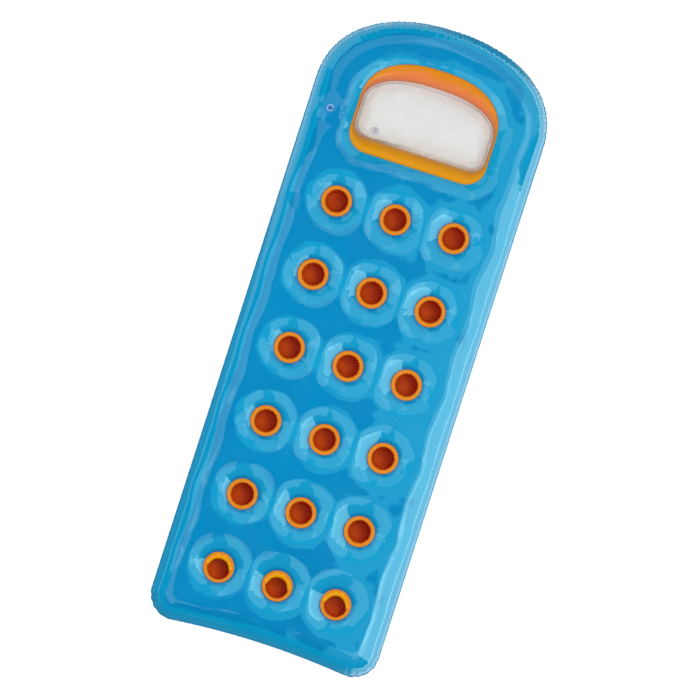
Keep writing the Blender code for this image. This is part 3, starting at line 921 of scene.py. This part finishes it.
def blue_film(context, name, upper):
    """One of the two blue films, blown up, gathered at its seam and creased between the pockets."""
    shape, settings = context.scene.lounge_shape, context.scene.lounge_film
    film = LoungeFilm(shape, valve_frame("main") if upper else None)
    creases = pocket_creases(settings, np.random.RandomState(settings.seed + (0 if upper else 1)))
    flat, faces = film.net(settings.grain, creases)
    points = np.column_stack([flat, film.height(flat)])
    held = film.held(flat)
    points += cloth_shift(film, settings, flat, faces, held)
    drop = sum(crease.drop(flat) for crease in creases)
    drop[held] = 0
    pleats = gathered(film, settings, flat, np.random.RandomState(settings.seed))
    inner, along = film.from_seam(flat), away_from(film.seam, flat)[1]
    depth = settings.pleat_depth
    points -= normals_of(points, faces) * (drop + depth * pleats * step_up(inner, 0.0, 0.002))[:, None]
    edge = pleats * np.exp(-(inner / 0.010) ** 2)
    points[:, :2] -= outward_of(film.seam, flat) * (0.6 * depth * edge)[:, None]
    ripple = 0.5 * depth * np.exp(-(inner / 0.006) ** 2) * (pleats - 0.3 * pleats.mean())
    points[:, 2] = MID + (1 if upper else -1) * points[:, 2] + ripple
    if not upper:
        faces = faces[:, ::-1]
        points[:, 2] = 0.5 * (points[:, 2] + np.sqrt(points[:, 2] ** 2 + GROUND_EASE ** 2))
        points[:, 2] = np.maximum(points[:, 2] - GROUND_EASE / 2 * np.exp(-points[:, 2] / GROUND_EASE), 0.0)
    piece = add_piece(name, points, faces)
    # sunk carries the pockets' and the window's drops that place the painted light and reflections; the window's
    # counts more towards the sides
    beside_window = 0.2 + 0.35 * step_up(abs(flat[:, 0]), 0.06, 0.17)
    # from_weld carries the painted shade at the welds
    store(piece, from_seam=inner, along_seam=along,
          from_weld=np.minimum(film.pocket_distance(flat), inner + 0.008),
          sunk=film.sunk(flat) + beside_window * film.window_drop(flat))
    return piece


def cloth_shift(film, settings, flat, faces, held):
    """How far blowing up carries each point, capped, from a coarser cloth."""
    cloth_flat, cloth_faces = film.net(settings.cloth_grain)
    start = np.column_stack([cloth_flat, film.height(cloth_flat)])
    moved = blown_up(
        start, cloth_faces, film.held(cloth_flat), settings.growth, settings.pressure,
        settings.stiffness, settings.frames)
    shift = capped(moved - start, film.shape.most_swell)
    fine = carried(flat, cloth_flat, cloth_faces, shift)
    fine[held] = 0
    return smoothed(faces, fine, held, 12)


# Finishes


def blue_finish(settings):
    """Glossy see-through blue film with painted shade where it turns down to a weld, painted light between the
    pockets of a row, painted reflections on its slopes, edge tube and hem, and a knurled seam.
    """
    finish = new_finish("blue_film")
    seam, sunk, across = finish.value_of("from_seam"), finish.value_of("sunk"), finish.along("X")
    wander = finish.noise(17.0) - 0.5
    cloudy = finish.ease(finish.noise(5.0, 3.0), 0.3, 0.7, 0.0, 0.4)
    # Painted light: paler where the film dips between the pockets of a row, and paler towards +X
    saddle_light = finish.ease(sunk + wander * 0.003 + across * 0.004, *SADDLE_DROP)
    saddle_light = saddle_light * finish.ease(across, -0.18, 0.10, 0.3, 0.95)
    # Painted reflection: paler along the edge tube, where its slope mirrors the studio
    outer = finish.ease(seam + finish.noise(11.0) * 0.02, *OUTER_TUBE, 1.0, 0.0)
    # Painted reflection: paler on the film that slopes down to a pocket
    slope = finish.ease(sunk + wander * 0.0075, *SLOPE_DROP, 0.0, 0.9)
    # Painted reflection: brighter beside the edge seam
    hem_reflection = finish.ease(seam, *HEM_WIDTH, 0.9, 0.0)
    # Painted shade: darker towards a pocket's weld and the seam, where the groove lies in shade
    near = finish.ease(finish.value_of("from_weld"), *WELD_SHADE, 0.65, 0.0)
    colour = settings.colour
    for share, over in (
            (cloudy, settings.cloud), (saddle_light, settings.pale), (outer * 0.85, settings.edge),
            (slope, settings.slope_reflection), (hem_reflection, settings.hem_reflection), (near, settings.deep)):
        colour = finish.blend(share, colour, over)
    on_seam = finish.ease(seam, 0.0, 0.0006, 1.0, 0.0)
    stripes = finish.node("ShaderNodeMath", {"operation": "SINE"}, {0: finish.value_of("along_seam") * KNURLS})
    knurl = finish.bump(stripes * on_seam, 0.5, 0.0002)
    orange_peel = finish.bump(finish.noise(420.0), 0.06, 0.0002, knurl)
    slight = finish.bump(finish.noise(36.0), 0.10, 0.0012, orange_peel)
    rough = finish.ease(finish.noise(14.0, 3.0), 0.35, 0.75, 0.045, 0.10)
    return finish.plastic(
        base_color=colour, roughness=rough, normal=slight, ior=1.80, specular_tint=(0.56, 1.0, 0.92, 1.0))


def orange_finish(settings):
    """Glossy orange film of the pockets: a bright lip and a redder wall, with painted light on one side of the
    wall, painted shade across from it, and painted light that lifts the wall's shade deeper down.
    """
    finish = new_finish("orange_film")
    depth = finish.value_of("depth")
    ragged = depth + (finish.noise(230.0) - 0.5) * 0.0045
    patchy = finish.ease(finish.noise(90.0, 3.0), 0.40, 0.75, 0.0, 0.25)
    lip = finish.blend(patchy, settings.lip_colour, settings.lip_patch)
    lip = finish.blend(finish.ease(ragged, *LIT_EDGE, 1.0, 0.0), lip, settings.lit_side)
    # Painted light: the wall's colour brightened up to 3.2 times deeper down, lifting the shade inside the sleeve
    painted_lift = finish.ease(depth, 0.0, 0.035, 1.0, 3.2)
    inside = finish.node(
        "ShaderNodeVectorMath", {"operation": "SCALE"}, {0: inside_colour(finish, settings), 3: painted_lift})
    relief = finish.bump(finish.noise(260.0), 0.10, 0.0003)
    return finish.plastic(
        base_color=finish.blend(finish.ease(ragged, *LIP_EDGE), lip, inside), roughness=0.24, normal=relief,
        specular_tint=(1.0, 0.75, 0.5, 1.0))


def inside_colour(finish, settings):
    """A pocket's inside: orange-brown painted light on one side, and deep red painted shade across from it."""
    patch = (finish.noise(45.0) - 0.5) * 0.9
    # Painted light on one side of the pocket and painted shade across from it
    share = finish.ease(finish.value_of("thin_side") + patch, -0.60, 0.80)
    return finish.blend(share, settings.painted_shaded_inside, settings.painted_lit_inside)


def floor_finish(settings):
    """The pockets' deep red floors, with painted light on one side and painted shade across from it."""
    finish = new_finish("pocket_film")
    relief = finish.bump(finish.noise(120.0), 0.15, 0.0006)
    return finish.plastic(
        base_color=inside_colour(finish, settings), roughness=0.30, normal=relief,
        specular_tint=(1.0, 0.5, 0.2, 1.0))


def band_finish(settings):
    """Glossy orange film of the window's band, with a painted pink reflection towards the pillow on the head side
    and painted light, golden, on the foot side.
    """
    finish = new_finish("window_band_film")
    side = finish.value_of("head_side")
    # Painted light: the band golden on its foot side
    warm = finish.blend(
        finish.ease(side, 0.10, 0.35, 1.0, 0.0), settings.band_colour, settings.band_lit_gold)
    cloud = (finish.noise(30.0) - 0.5) * 0.5
    # Painted reflection: pinker towards the pillow on the head side
    pink_reflection = finish.ease(finish.value_of("depth") + cloud, 0.15, 0.75) * finish.ease(side, 0.25, 0.8)
    relief = finish.bump(finish.noise(26.0, 3.0), 0.12, 0.0012)
    return finish.plastic(
        base_color=finish.blend(pink_reflection, warm, settings.band_pink_reflection), roughness=0.20, normal=relief,
        specular_tint=(1.0, 0.8, 0.55, 1.0))


def clear_finish(settings):
    """Clear film with a milky weld along its edge."""
    finish = new_finish("clear_film")
    seam = finish.value_of("from_seam")
    haze = finish.ease(finish.noise(4.0), 0.3, 0.7, 0.20, 0.27)
    foot = finish.ease(finish.along("Y"), *FOOT_OF_PILLOW, 0.50, 0.10)
    alpha = haze + finish.ease(seam, 0.001, 0.007, 1.0, 0.0) * foot
    colour = finish.blend(finish.ease(seam, 0.0, 0.0016, 1.0, 0.0), settings.clear, settings.weld)
    relief = finish.bump(finish.noise(30.0), 0.10, 0.001)
    return finish.plastic(base_color=colour, roughness=0.05, normal=relief, alpha=alpha, ior=1.6)


def valve_finish(name, shade, opacity):
    """Soft clear plastic with a tint."""
    finish = new_finish(name)
    paler = [0.92 * value + 0.05 for value in shade]
    colour = finish.blend(finish.ease(finish.noise(300.0), 0.35, 0.7), shade, paler)
    relief = finish.bump(finish.noise(700.0), 0.08, 0.0002)
    return finish.plastic(base_color=colour, roughness=0.10, normal=relief, alpha=opacity, ior=1.6)


# Operators


class LOUNGE_OT_blue_films(bpy.types.Operator):
    """Blow up the two blue films between their welds"""

    bl_idname = "lounge.blue_films"
    bl_label = "Blue films"

    def execute(self, context):
        shape = context.scene.lounge_shape
        material = blue_finish(context.scene.lounge_film)
        area = FLAT_AREA_GAIN * (loop_area(lounge_outline(shape)) - loop_area(window_outline(shape)))
        for side, upper in (("top", True), ("bottom", False)):
            piece = blue_film(context, f"blue_{side}_film", upper)
            finished_film(piece, material, side + "_sheet", ["pocket_sleeve_01"])
        return {"FINISHED"}


def revolved(name, profile, sides):
    """A skin turned about Z: a circle, extruded and resized from level to level."""
    bpy.ops.object.select_all(action="DESELECT")
    radius, level = profile[0]
    bpy.ops.mesh.primitive_circle_add(vertices=sides, radius=radius, location=(0, 0, level))
    piece = bpy.context.active_object
    piece.name = name
    bpy.ops.object.transform_apply(location=True, rotation=True, scale=True)
    bpy.ops.object.mode_set(mode="EDIT")
    bpy.ops.mesh.select_all(action="SELECT")
    for next_radius, next_level in profile[1:]:
        bpy.ops.mesh.extrude_region_move(TRANSFORM_OT_translate={"value": (0, 0, next_level - level)})
        share = next_radius / radius
        bpy.ops.transform.resize(value=(share, share, 1), center_override=(0, 0, next_level))
        radius, level = next_radius, next_level
    bpy.ops.mesh.select_all(action="SELECT")
    bpy.ops.mesh.normals_make_consistent(inside=False)
    bpy.ops.object.mode_set(mode="OBJECT")
    return piece


def sleeve_profile(settings):
    """A sleeve's section from its upper lip, over the bead, down to its waist and on to the lower lip."""
    bead, bore, waist, ring = settings.bead, settings.bore, settings.waist, settings.ring
    rim = [(ring, 0.0), (ring - 0.0005, 0.5), (ring - 0.0016, 0.9), (ring - 0.0034, 1.0),
           (bore + 0.0026, 0.9), (bore + 0.0011, 0.45), (bore + 0.0003, -0.3)]
    upper = [(radius, LIP_TOP + rise * bead) for radius, rise in rim]
    top = LIP_TOP - 0.0022
    for step in range(11):
        turn = math.pi / 2 * step / 10
        upper.append((waist + (bore - waist) * (1 - math.sin(turn)) ** 1.3, top * math.cos(turn)))
    return upper + [(radius, -level) for radius, level in reversed(upper[:-1])]


class LOUNGE_OT_pockets(bpy.types.Operator):
    """Model a sleeve and a floor, and set a copy of each in every pocket"""

    bl_idname = "lounge.pockets"
    bl_label = "Pockets"

    def execute(self, context):
        settings = context.scene.lounge_pockets
        orange, red = orange_finish(settings), floor_finish(settings)
        sleeve = revolved("sleeve_pattern", sleeve_profile(settings), settings.sides)
        rest = points_of(sleeve)
        last_row = min(spot.y for spot in POCKETS)
        for index, (node, centre) in enumerate(zip(FLOORS, POCKETS)):
            label = node[-2:]
            rng = np.random.RandomState(index + 11)
            lean = settings.lean if centre.y == last_row else 0.0
            piece = copied(sleeve, "pocket_sleeve_film_" + label)
            shape_sleeve(piece, rest, settings, lean, rng)
            piece.data.transform(Matrix.Translation(centre))
            finished_film(piece, orange, "pocket_sleeve_" + label,
                          ["top_sheet", "bottom_sheet"], wall=-FILM)
            floor = pocket_floor("pocket_floor_film_" + label, settings, centre - Vector((0, lean, 0)), rng)
            finished_film(floor, red, node,
                          ["pocket_sleeve_" + label])
        bpy.data.objects.remove(sleeve)
        return {"FINISHED"}


def copied(piece, name):
    """A copy of a piece with its own mesh."""
    made = piece.copy()
    made.data = piece.data.copy()
    made.name = name
    bpy.context.scene.collection.objects.link(made)
    return made


def shape_sleeve(piece, rest, settings, lean, rng):
    """Gather the sleeve's film below its rims, wave its wall a little and lean it towards the foot."""
    radius = np.hypot(rest[:, 0], rest[:, 1])
    angle = np.arctan2(rest[:, 1], rest[:, 0])
    under = LIP_TOP - abs(rest[:, 2])
    in_wall = np.where(radius < settings.bore + 0.0026, 1.0, 0.0)
    fade = in_wall * np.exp(-np.maximum(under, 0) / 0.009) * step_up(under, -0.0018, 0.0006)
    shift = rng.uniform(0, 2 * math.pi)
    gathers = np.cos(settings.crimps * angle + shift + 0.8 * np.sin(3 * angle + shift))
    gathers += 0.35 * np.cos(2 * settings.crimps * angle + shift)
    waves = np.cos(3 * angle + shift) * np.sin(math.pi * np.clip(under / LIP_TOP, 0, 1))
    grown = radius - settings.crimp * fade * (0.5 + 0.5 * gathers) - 0.0004 * in_wall * waves
    moved = rest.copy()
    moved[:, :2] *= (grown / radius)[:, None]
    moved[:, 1] -= lean * np.clip((settings.ring - radius) / (settings.ring - settings.waist), 0, 1)
    piece.data.vertices.foreach_set("co", moved.ravel())
    facing = np.maximum(np.sin(angle), 0) ** 0.7 * in_wall if lean else 0.0
    store(piece, depth=under - LIT_DEPTH * facing, thin_side=thin_side(rest / settings.bore))


def pocket_floor(name, settings, centre, rng):
    """A round floor that sags and puckers a little."""
    radius = settings.waist - GAP
    rim, *rings = [circle((0, 0), radius * share, 48) for share in (1.0, 0.92, 0.8, 0.64, 0.45, 0.25)]
    flat, faces = triangulated([rim], [], np.vstack([*rings, np.zeros((1, 2))]))
    away = np.hypot(*flat.T) / radius
    angle = np.arctan2(flat[:, 1], flat[:, 0])
    pucker = np.cos(9 * angle + rng.uniform(0, 6)) * away ** 3 * (1 - away)
    sag = -0.0016 * (1 - away ** 2) + 0.004 * pucker
    piece = add_piece(name, np.column_stack([flat + np.array(centre.xy), centre.z + sag]), faces)
    store(piece, thin_side=thin_side(flat / settings.bore))
    return piece


def thin_side(spots):
    """From -1 to 1 across a pocket, towards the side where light is painted in."""
    return spots[:, 0] * math.cos(PAINTED_LIGHT_BEARING) + spots[:, 1] * math.sin(PAINTED_LIGHT_BEARING)


class LOUNGE_OT_window_band(bpy.types.Operator):
    """Loft the orange band that lines the window"""

    bl_idname = "lounge.window_band"
    bl_label = "Window band"

    def execute(self, context):
        shape, settings = context.scene.lounge_shape, context.scene.lounge_window
        rim, waist = window_outline(shape), waist_outline(shape, settings)
        lap = offset(rim, settings.lap)
        bead = 0.0012
        rings = [(lap, BAND_TOP, 0.0)]
        for loop, out, rise in ((lap, -0.0005, 0.7), (lap, -0.0012, 1.0), (rim, 0.0006, 1.0), (rim, 0.0001, 0.5)):
            rings.append((offset(loop, out), BAND_TOP + rise * bead, 0.0))
        for step in range(settings.band_steps + 1):
            turn = math.pi / 2 * step / settings.band_steps
            lean = math.sin(turn)
            rings.append((rim + (waist - rim) * lean, BAND_TOP * math.cos(turn), lean))
        rings += [(ring, -level, lean) for ring, level, lean in reversed(rings[:-1])]
        count = len(rim)
        points = np.vstack([np.column_stack([ring, np.full(count, level)]) for ring, level, _ in rings])
        depth = np.concatenate([np.full(count, lean) for _, _, lean in rings])
        middle = LENGTH / 2 - shape.window_from_head - shape.window_length / 2
        head_side = np.clip((points[:, 1] - middle) / shape.window_length + 0.5, 0, 1)
        wave = np.sin(points[:, 0] * 71 + 3 * np.sin(points[:, 1] * 40)) * np.sin(math.pi * depth) * 0.0009
        points[:, 1] += wave
        points[:, 2] += MID
        faces = []
        for first in range(0, count * (len(rings) - 1), count):
            for i in range(count):
                a, b = first + i, first + (i + 1) % count
                faces.append((a, b, b + count, a + count))
        piece = add_piece("window_band_film", points, faces)
        store(piece, depth=depth, head_side=head_side)
        finished_film(piece, band_finish(settings), "window_band",
                      ["top_sheet", "bottom_sheet"])
        return {"FINISHED"}


class LOUNGE_OT_pillow(bpy.types.Operator):
    """Blow up the two clear films of the pillow"""

    bl_idname = "lounge.pillow"
    bl_label = "Pillow"

    def execute(self, context):
        shape, settings = context.scene.lounge_shape, context.scene.lounge_window
        edge = offset(waist_outline(shape, settings), -GAP)
        seam = offset(edge, -settings.pillow_seam)
        material = clear_finish(settings)
        area = PILLOW_AREA_GAIN * loop_area(edge)
        for side, upper in (("top", True), ("bottom", False)):
            film = PillowFilm(edge, seam, valve_frame("pillow") if upper else None)
            piece = film.piece(f"clear_{side}_film", settings, upper)
            finished_film(piece, material, f"pillow_{side}_film", ["window_band"])
        return {"FINISHED"}


class PillowFilm(Film):
    """One clear film of the pillow."""

    def height(self, points, settings):
        """How far the film stands from the middle plane, before it is blown up."""
        away = self.from_seam(points)
        return self.levelled(points, swell(away, settings.pillow_reach, LOW, settings.pillow_crown, 0.8))

    def net(self, grain):
        """The film's points and triangles."""
        loops = [evenly(self.edge, grain * 0.7), evenly(self.seam, grain * 0.7)]
        rings = [drawn_in(self.seam, grain * share, grain * 0.7) for share in PILLOW_RINGS]
        rest = lattice(self.seam.min(0), self.seam.max(0), grain)
        rest = rest[within(self.seam, rest)]
        rest = rest[away_from(self.seam, rest)[0] > grain * 2.6]
        return self.netted(loops, [], np.vstack([*rings, rest]), 1.25)

    def piece(self, name, settings, upper):
        """The film, blown up."""
        flat, faces = self.net(settings.pillow_grain)
        points = np.column_stack([flat, self.height(flat, settings)])
        held = self.held(flat)
        moved = blown_up(points, faces, held, settings.pillow_growth, 12.0, 15.0, 20)
        points = points + smoothed(faces, capped(moved - points, 0.006), held, 1)
        points[:, 2] = MID + (points[:, 2] if upper else -points[:, 2])
        piece = add_piece(name, points, faces if upper else faces[:, ::-1])
        store(piece, from_seam=self.from_seam(flat))
        return piece


class LOUNGE_OT_valves(bpy.types.Operator):
    """Model an air valve and set one in the body and one in the pillow"""

    bl_idname = "lounge.valves"
    bl_label = "Air valves"

    def execute(self, context):
        settings = context.scene.lounge_valves
        flange = valve_finish("valve_flange", settings.colour, 0.85)
        inner = valve_finish("valve_plastic", settings.plug_colour, 0.85)
        clear = valve_finish("clear_valve", settings.clear, 0.3)
        parts = {"base": valve_base, "stem": valve_stem, "plug": valve_plug, "flap": valve_flap}
        for name in ("main", "pillow"):
            for part, make in parts.items():
                piece = make(f"{name}_valve_{part}_soft", settings)
                piece.data.transform(valve_frame(name))
                material = clear if name == "pillow" else flange if part == "base" else inner
                body = "lounge" if part == "base" else f"{name}_{part}"
                finished(piece, body, material, f"{name}_valve_{part}")
                only(piece)
                bpy.ops.object.shade_smooth_by_angle(angle=math.radians(35))
        return {"FINISHED"}


def cleaned(piece, reach=SMALL, filled=False):
    """Merge a piece's doubles, fill its open ends and turn its faces outwards."""
    only(piece)
    bpy.ops.object.mode_set(mode="EDIT")
    bpy.ops.mesh.select_all(action="SELECT")
    bpy.ops.mesh.remove_doubles(threshold=reach)
    if filled:
        bpy.ops.mesh.fill_holes(sides=0)
    bpy.ops.mesh.normals_make_consistent(inside=False)
    bpy.ops.object.mode_set(mode="OBJECT")
    return piece


def rounded(piece, width):
    """Round a piece's sharp edges."""
    bevel = piece.modifiers.new("soft edges", "BEVEL")
    bevel.width = width
    bevel.segments = 3
    bevel.limit_method = "ANGLE"
    bevel.angle_limit = math.radians(40)
    apply_all(piece)
    return piece


def valve_base(name, settings):
    """The flange under the film with its collar."""
    top, collar = -FILM - GAP, settings.stem + 0.0003
    outside, under, end = collar + settings.wall, top - settings.wall, top - 0.005
    section = [(collar, top), (settings.base, top), (settings.base, under), (outside, under), (outside, end),
               (collar, end), (collar, top)]
    return rounded(cleaned(revolved(name, section, settings.sides)), 0.0002)


def valve_stem(name, settings):
    """The sliding stem with its lip and the lug that holds the tether."""
    bottom = -FILM
    top = bottom + settings.wall
    end = top - settings.length
    section = [(settings.bore, top), (settings.lip, top), (settings.lip, bottom), (settings.stem, bottom),
               (settings.stem, end), (settings.bore, end), (settings.bore, top)]
    piece = cleaned(revolved(name, section, settings.sides))
    draw_lug(piece, (top + bottom) / 2, settings.lip, settings.tether + 0.002 - settings.lip, 0.0012)
    return rounded(piece, 0.00018)


def valve_plug(name, settings):
    """The tethered plug: cap, taper and strap."""
    bottom, top = 0.0008, 0.0018
    plug = settings.bore - 0.0002
    section = [(SMALL, top), (settings.cap, top), (settings.cap, bottom), (plug, bottom), (plug, -0.001),
               (plug - 0.0012, -0.0035), (SMALL, -0.0035)]
    piece = cleaned(revolved(name, section, settings.sides))
    draw_lug(piece, (top + bottom) / 2, settings.cap, settings.tether + 0.0003 - settings.cap, 0.0010)
    return rounded(cleaned(piece, 4 * SMALL, True), 0.00022)


def valve_flap(name, settings):
    """The thin flap that closes the stem's inner end."""
    top, radius = -FILM + settings.wall - settings.length - GAP, settings.stem - 0.0005
    section = [(SMALL, top), (radius, top), (radius, top - 0.0005), (SMALL, top - 0.0005)]
    piece = cleaned(revolved(name, section, settings.sides))
    return rounded(cleaned(piece, 4 * SMALL, True), 0.0001)


def draw_lug(piece, level, radius, reach, half):
    """Draw part of a rim's face out along X as a strap."""
    only(piece)
    bpy.ops.object.mode_set(mode="EDIT")
    mesh = bmesh.from_edit_mesh(piece.data)
    bpy.ops.mesh.select_all(action="DESELECT")
    for face in mesh.faces:
        centre = face.calc_center_median()
        on_rim = abs(centre.z - level) < 0.0002 and centre.x > 0.9 * radius
        if on_rim and abs(centre.y) < half and abs(face.normal.z) < 0.5:
            face.select = True
    bmesh.update_edit_mesh(piece.data)
    bpy.ops.mesh.extrude_region_move(TRANSFORM_OT_translate={"value": (reach, 0, 0)})
    bpy.ops.object.mode_set(mode="OBJECT")


class LOUNGE_OT_studio(bpy.types.Operator):
    """Set the floor, the lights and the camera"""

    bl_idname = "lounge.studio"
    bl_label = "Studio"

    def execute(self, context):
        settings = context.scene.lounge_studio
        bpy.ops.object.select_all(action="DESELECT")
        bpy.ops.mesh.primitive_plane_add(size=80, location=(0, 0, FLOOR_LEVEL))
        floor = context.active_object
        floor.name = "studio_floor"
        floor.data.materials.append(floor_white())
        for name, bearing, fall, distance, size, light in SOFT_BOXES:
            box = soft_box(name, settings.turn + bearing, fall, distance, size, getattr(settings, light))
            box.visible_diffuse = False
        top = soft_box("top_light", 0.0, 0.0, 3.0, (3.0, 3.0), settings.top_light)
        top.visible_glossy = False
        context.scene.world = room(settings.room_light, settings.room_gloss)
        camera = bpy.data.cameras.new("camera")
        camera.lens = camera.sensor_width * settings.distance / settings.view_width
        camera.clip_end = 100
        stand = bpy.data.objects.new("camera", camera)
        context.scene.collection.objects.link(stand)
        stand.location = (settings.aim_x, settings.aim_y, settings.distance + MID)
        stand.rotation_euler = (0, 0, settings.turn)
        context.scene.camera = stand
        context.scene.view_settings.view_transform = "Standard"
        return {"FINISHED"}


def floor_white():
    """A white floor that keeps a faint shadow and stays white to the camera."""
    finish = new_finish("studio_white")
    paper = finish.node("ShaderNodeBsdfDiffuse", inputs={"Color": (0.82, 0.82, 0.82, 1)})
    seen = (finish.ray("Is Camera Ray") + finish.ray("Is Transmission Ray")) * 0.65
    glow = finish.node("ShaderNodeEmission", inputs={"Strength": seen})
    white = finish.node("ShaderNodeAddShader", inputs={0: paper, 1: glow})
    across, along = finish.along("X"), finish.along("Y")
    beside = finish.ease(across, 0.20, 0.34, 0.0, 0.5) + finish.ease(across, 0.36, 0.80, 0.0, 0.45)
    corner = finish.ease(along * 0.45 - across * 0.89, 0.38, 0.58, 0.0, 0.3)
    pool = finish.blend(0.05 + beside + corner, (0, 0, 0), POOL_LIGHT)
    mirrored = finish.node("ShaderNodeEmission", inputs={"Color": pool})
    both = finish.node("ShaderNodeMixShader", inputs={0: finish.ray("Is Glossy Ray"), 1: white, 2: mirrored})
    finish.node("ShaderNodeOutputMaterial", inputs={"Surface": both})
    return finish.block


def soft_box(name, bearing, fall, distance, size, brightness):
    """A rectangular light that faces the lounge's middle: bearing from +X, angle from the vertical, size across
    and up."""
    light = bpy.data.lights.new(name, "AREA")
    light.shape = "RECTANGLE"
    light.size, light.size_y = size
    light.energy = brightness * math.pi * size[0] * size[1]
    stand = bpy.data.objects.new(name, light)
    bpy.context.scene.collection.objects.link(stand)
    level = distance * math.sin(fall)
    stand.location = (level * math.cos(bearing), level * math.sin(bearing), distance * math.cos(fall))
    stand.rotation_euler = (-stand.location).to_track_quat("-Z", "Y").to_euler()
    stand.visible_camera = False
    return stand


def room(brightness, gloss):
    """An even room, dim in reflections, that the camera sees as white."""
    finish = Finish(bpy.data.worlds.new("room"))
    level = brightness
    for ray, share in (("Is Glossy Ray", gloss), ("Is Camera Ray", 1.0)):
        inputs = {"Value": finish.ray(ray), "To Min": level, "To Max": share}
        level = finish.node("ShaderNodeMapRange", inputs=inputs)
    background = finish.node("ShaderNodeBackground", inputs={"Strength": level})
    finish.node("ShaderNodeOutputWorld", inputs={"Surface": background})
    return finish.block


class LOUNGE_PT_panel(bpy.types.Panel):
    """Lists the lounge's pieces in the sidebar"""

    bl_idname = "LOUNGE_PT_panel"
    bl_label = "Pool Lounge"
    bl_space_type = "VIEW_3D"
    bl_region_type = "UI"
    bl_category = "Lounge"

    def draw(self, context):
        for name, (_, operators) in GROUPS.items():
            box = self.layout.box()
            settings = getattr(context.scene, name)
            for field in settings.__annotations__:
                box.prop(settings, field)
            for operator in operators:
                box.operator(operator.bl_idname)


GROUPS = {
    "lounge_shape": (LoungeShape, ()),
    "lounge_film": (FilmFinish, (LOUNGE_OT_blue_films,)),
    "lounge_pockets": (PocketFinish, (LOUNGE_OT_pockets,)),
    "lounge_window": (WindowFinish, (LOUNGE_OT_window_band, LOUNGE_OT_pillow)),
    "lounge_valves": (ValveFinish, (LOUNGE_OT_valves,)),
    "lounge_studio": (StudioLook, (LOUNGE_OT_studio,)),
}


def register():
    """Make the settings, operators and panel known to Blender."""
    for name, (group, operators) in GROUPS.items():
        for kind in (group, *operators):
            bpy.utils.register_class(kind)
        setattr(bpy.types.Scene, name, PointerProperty(type=group))
    bpy.utils.register_class(LOUNGE_PT_panel)


def unregister():
    """Take them away again."""
    bpy.utils.unregister_class(LOUNGE_PT_panel)
    for name, (group, operators) in reversed(GROUPS.items()):
        delattr(bpy.types.Scene, name)
        for kind in (*operators, group):
            bpy.utils.unregister_class(kind)


def main():
    """Make every piece and set the studio."""
    register()
    bpy.ops.lounge.blue_films()
    bpy.ops.lounge.pockets()
    bpy.ops.lounge.window_band()
    bpy.ops.lounge.pillow()
    bpy.ops.lounge.valves()
    bpy.ops.lounge.studio()


if __name__ == "__main__":
    main()
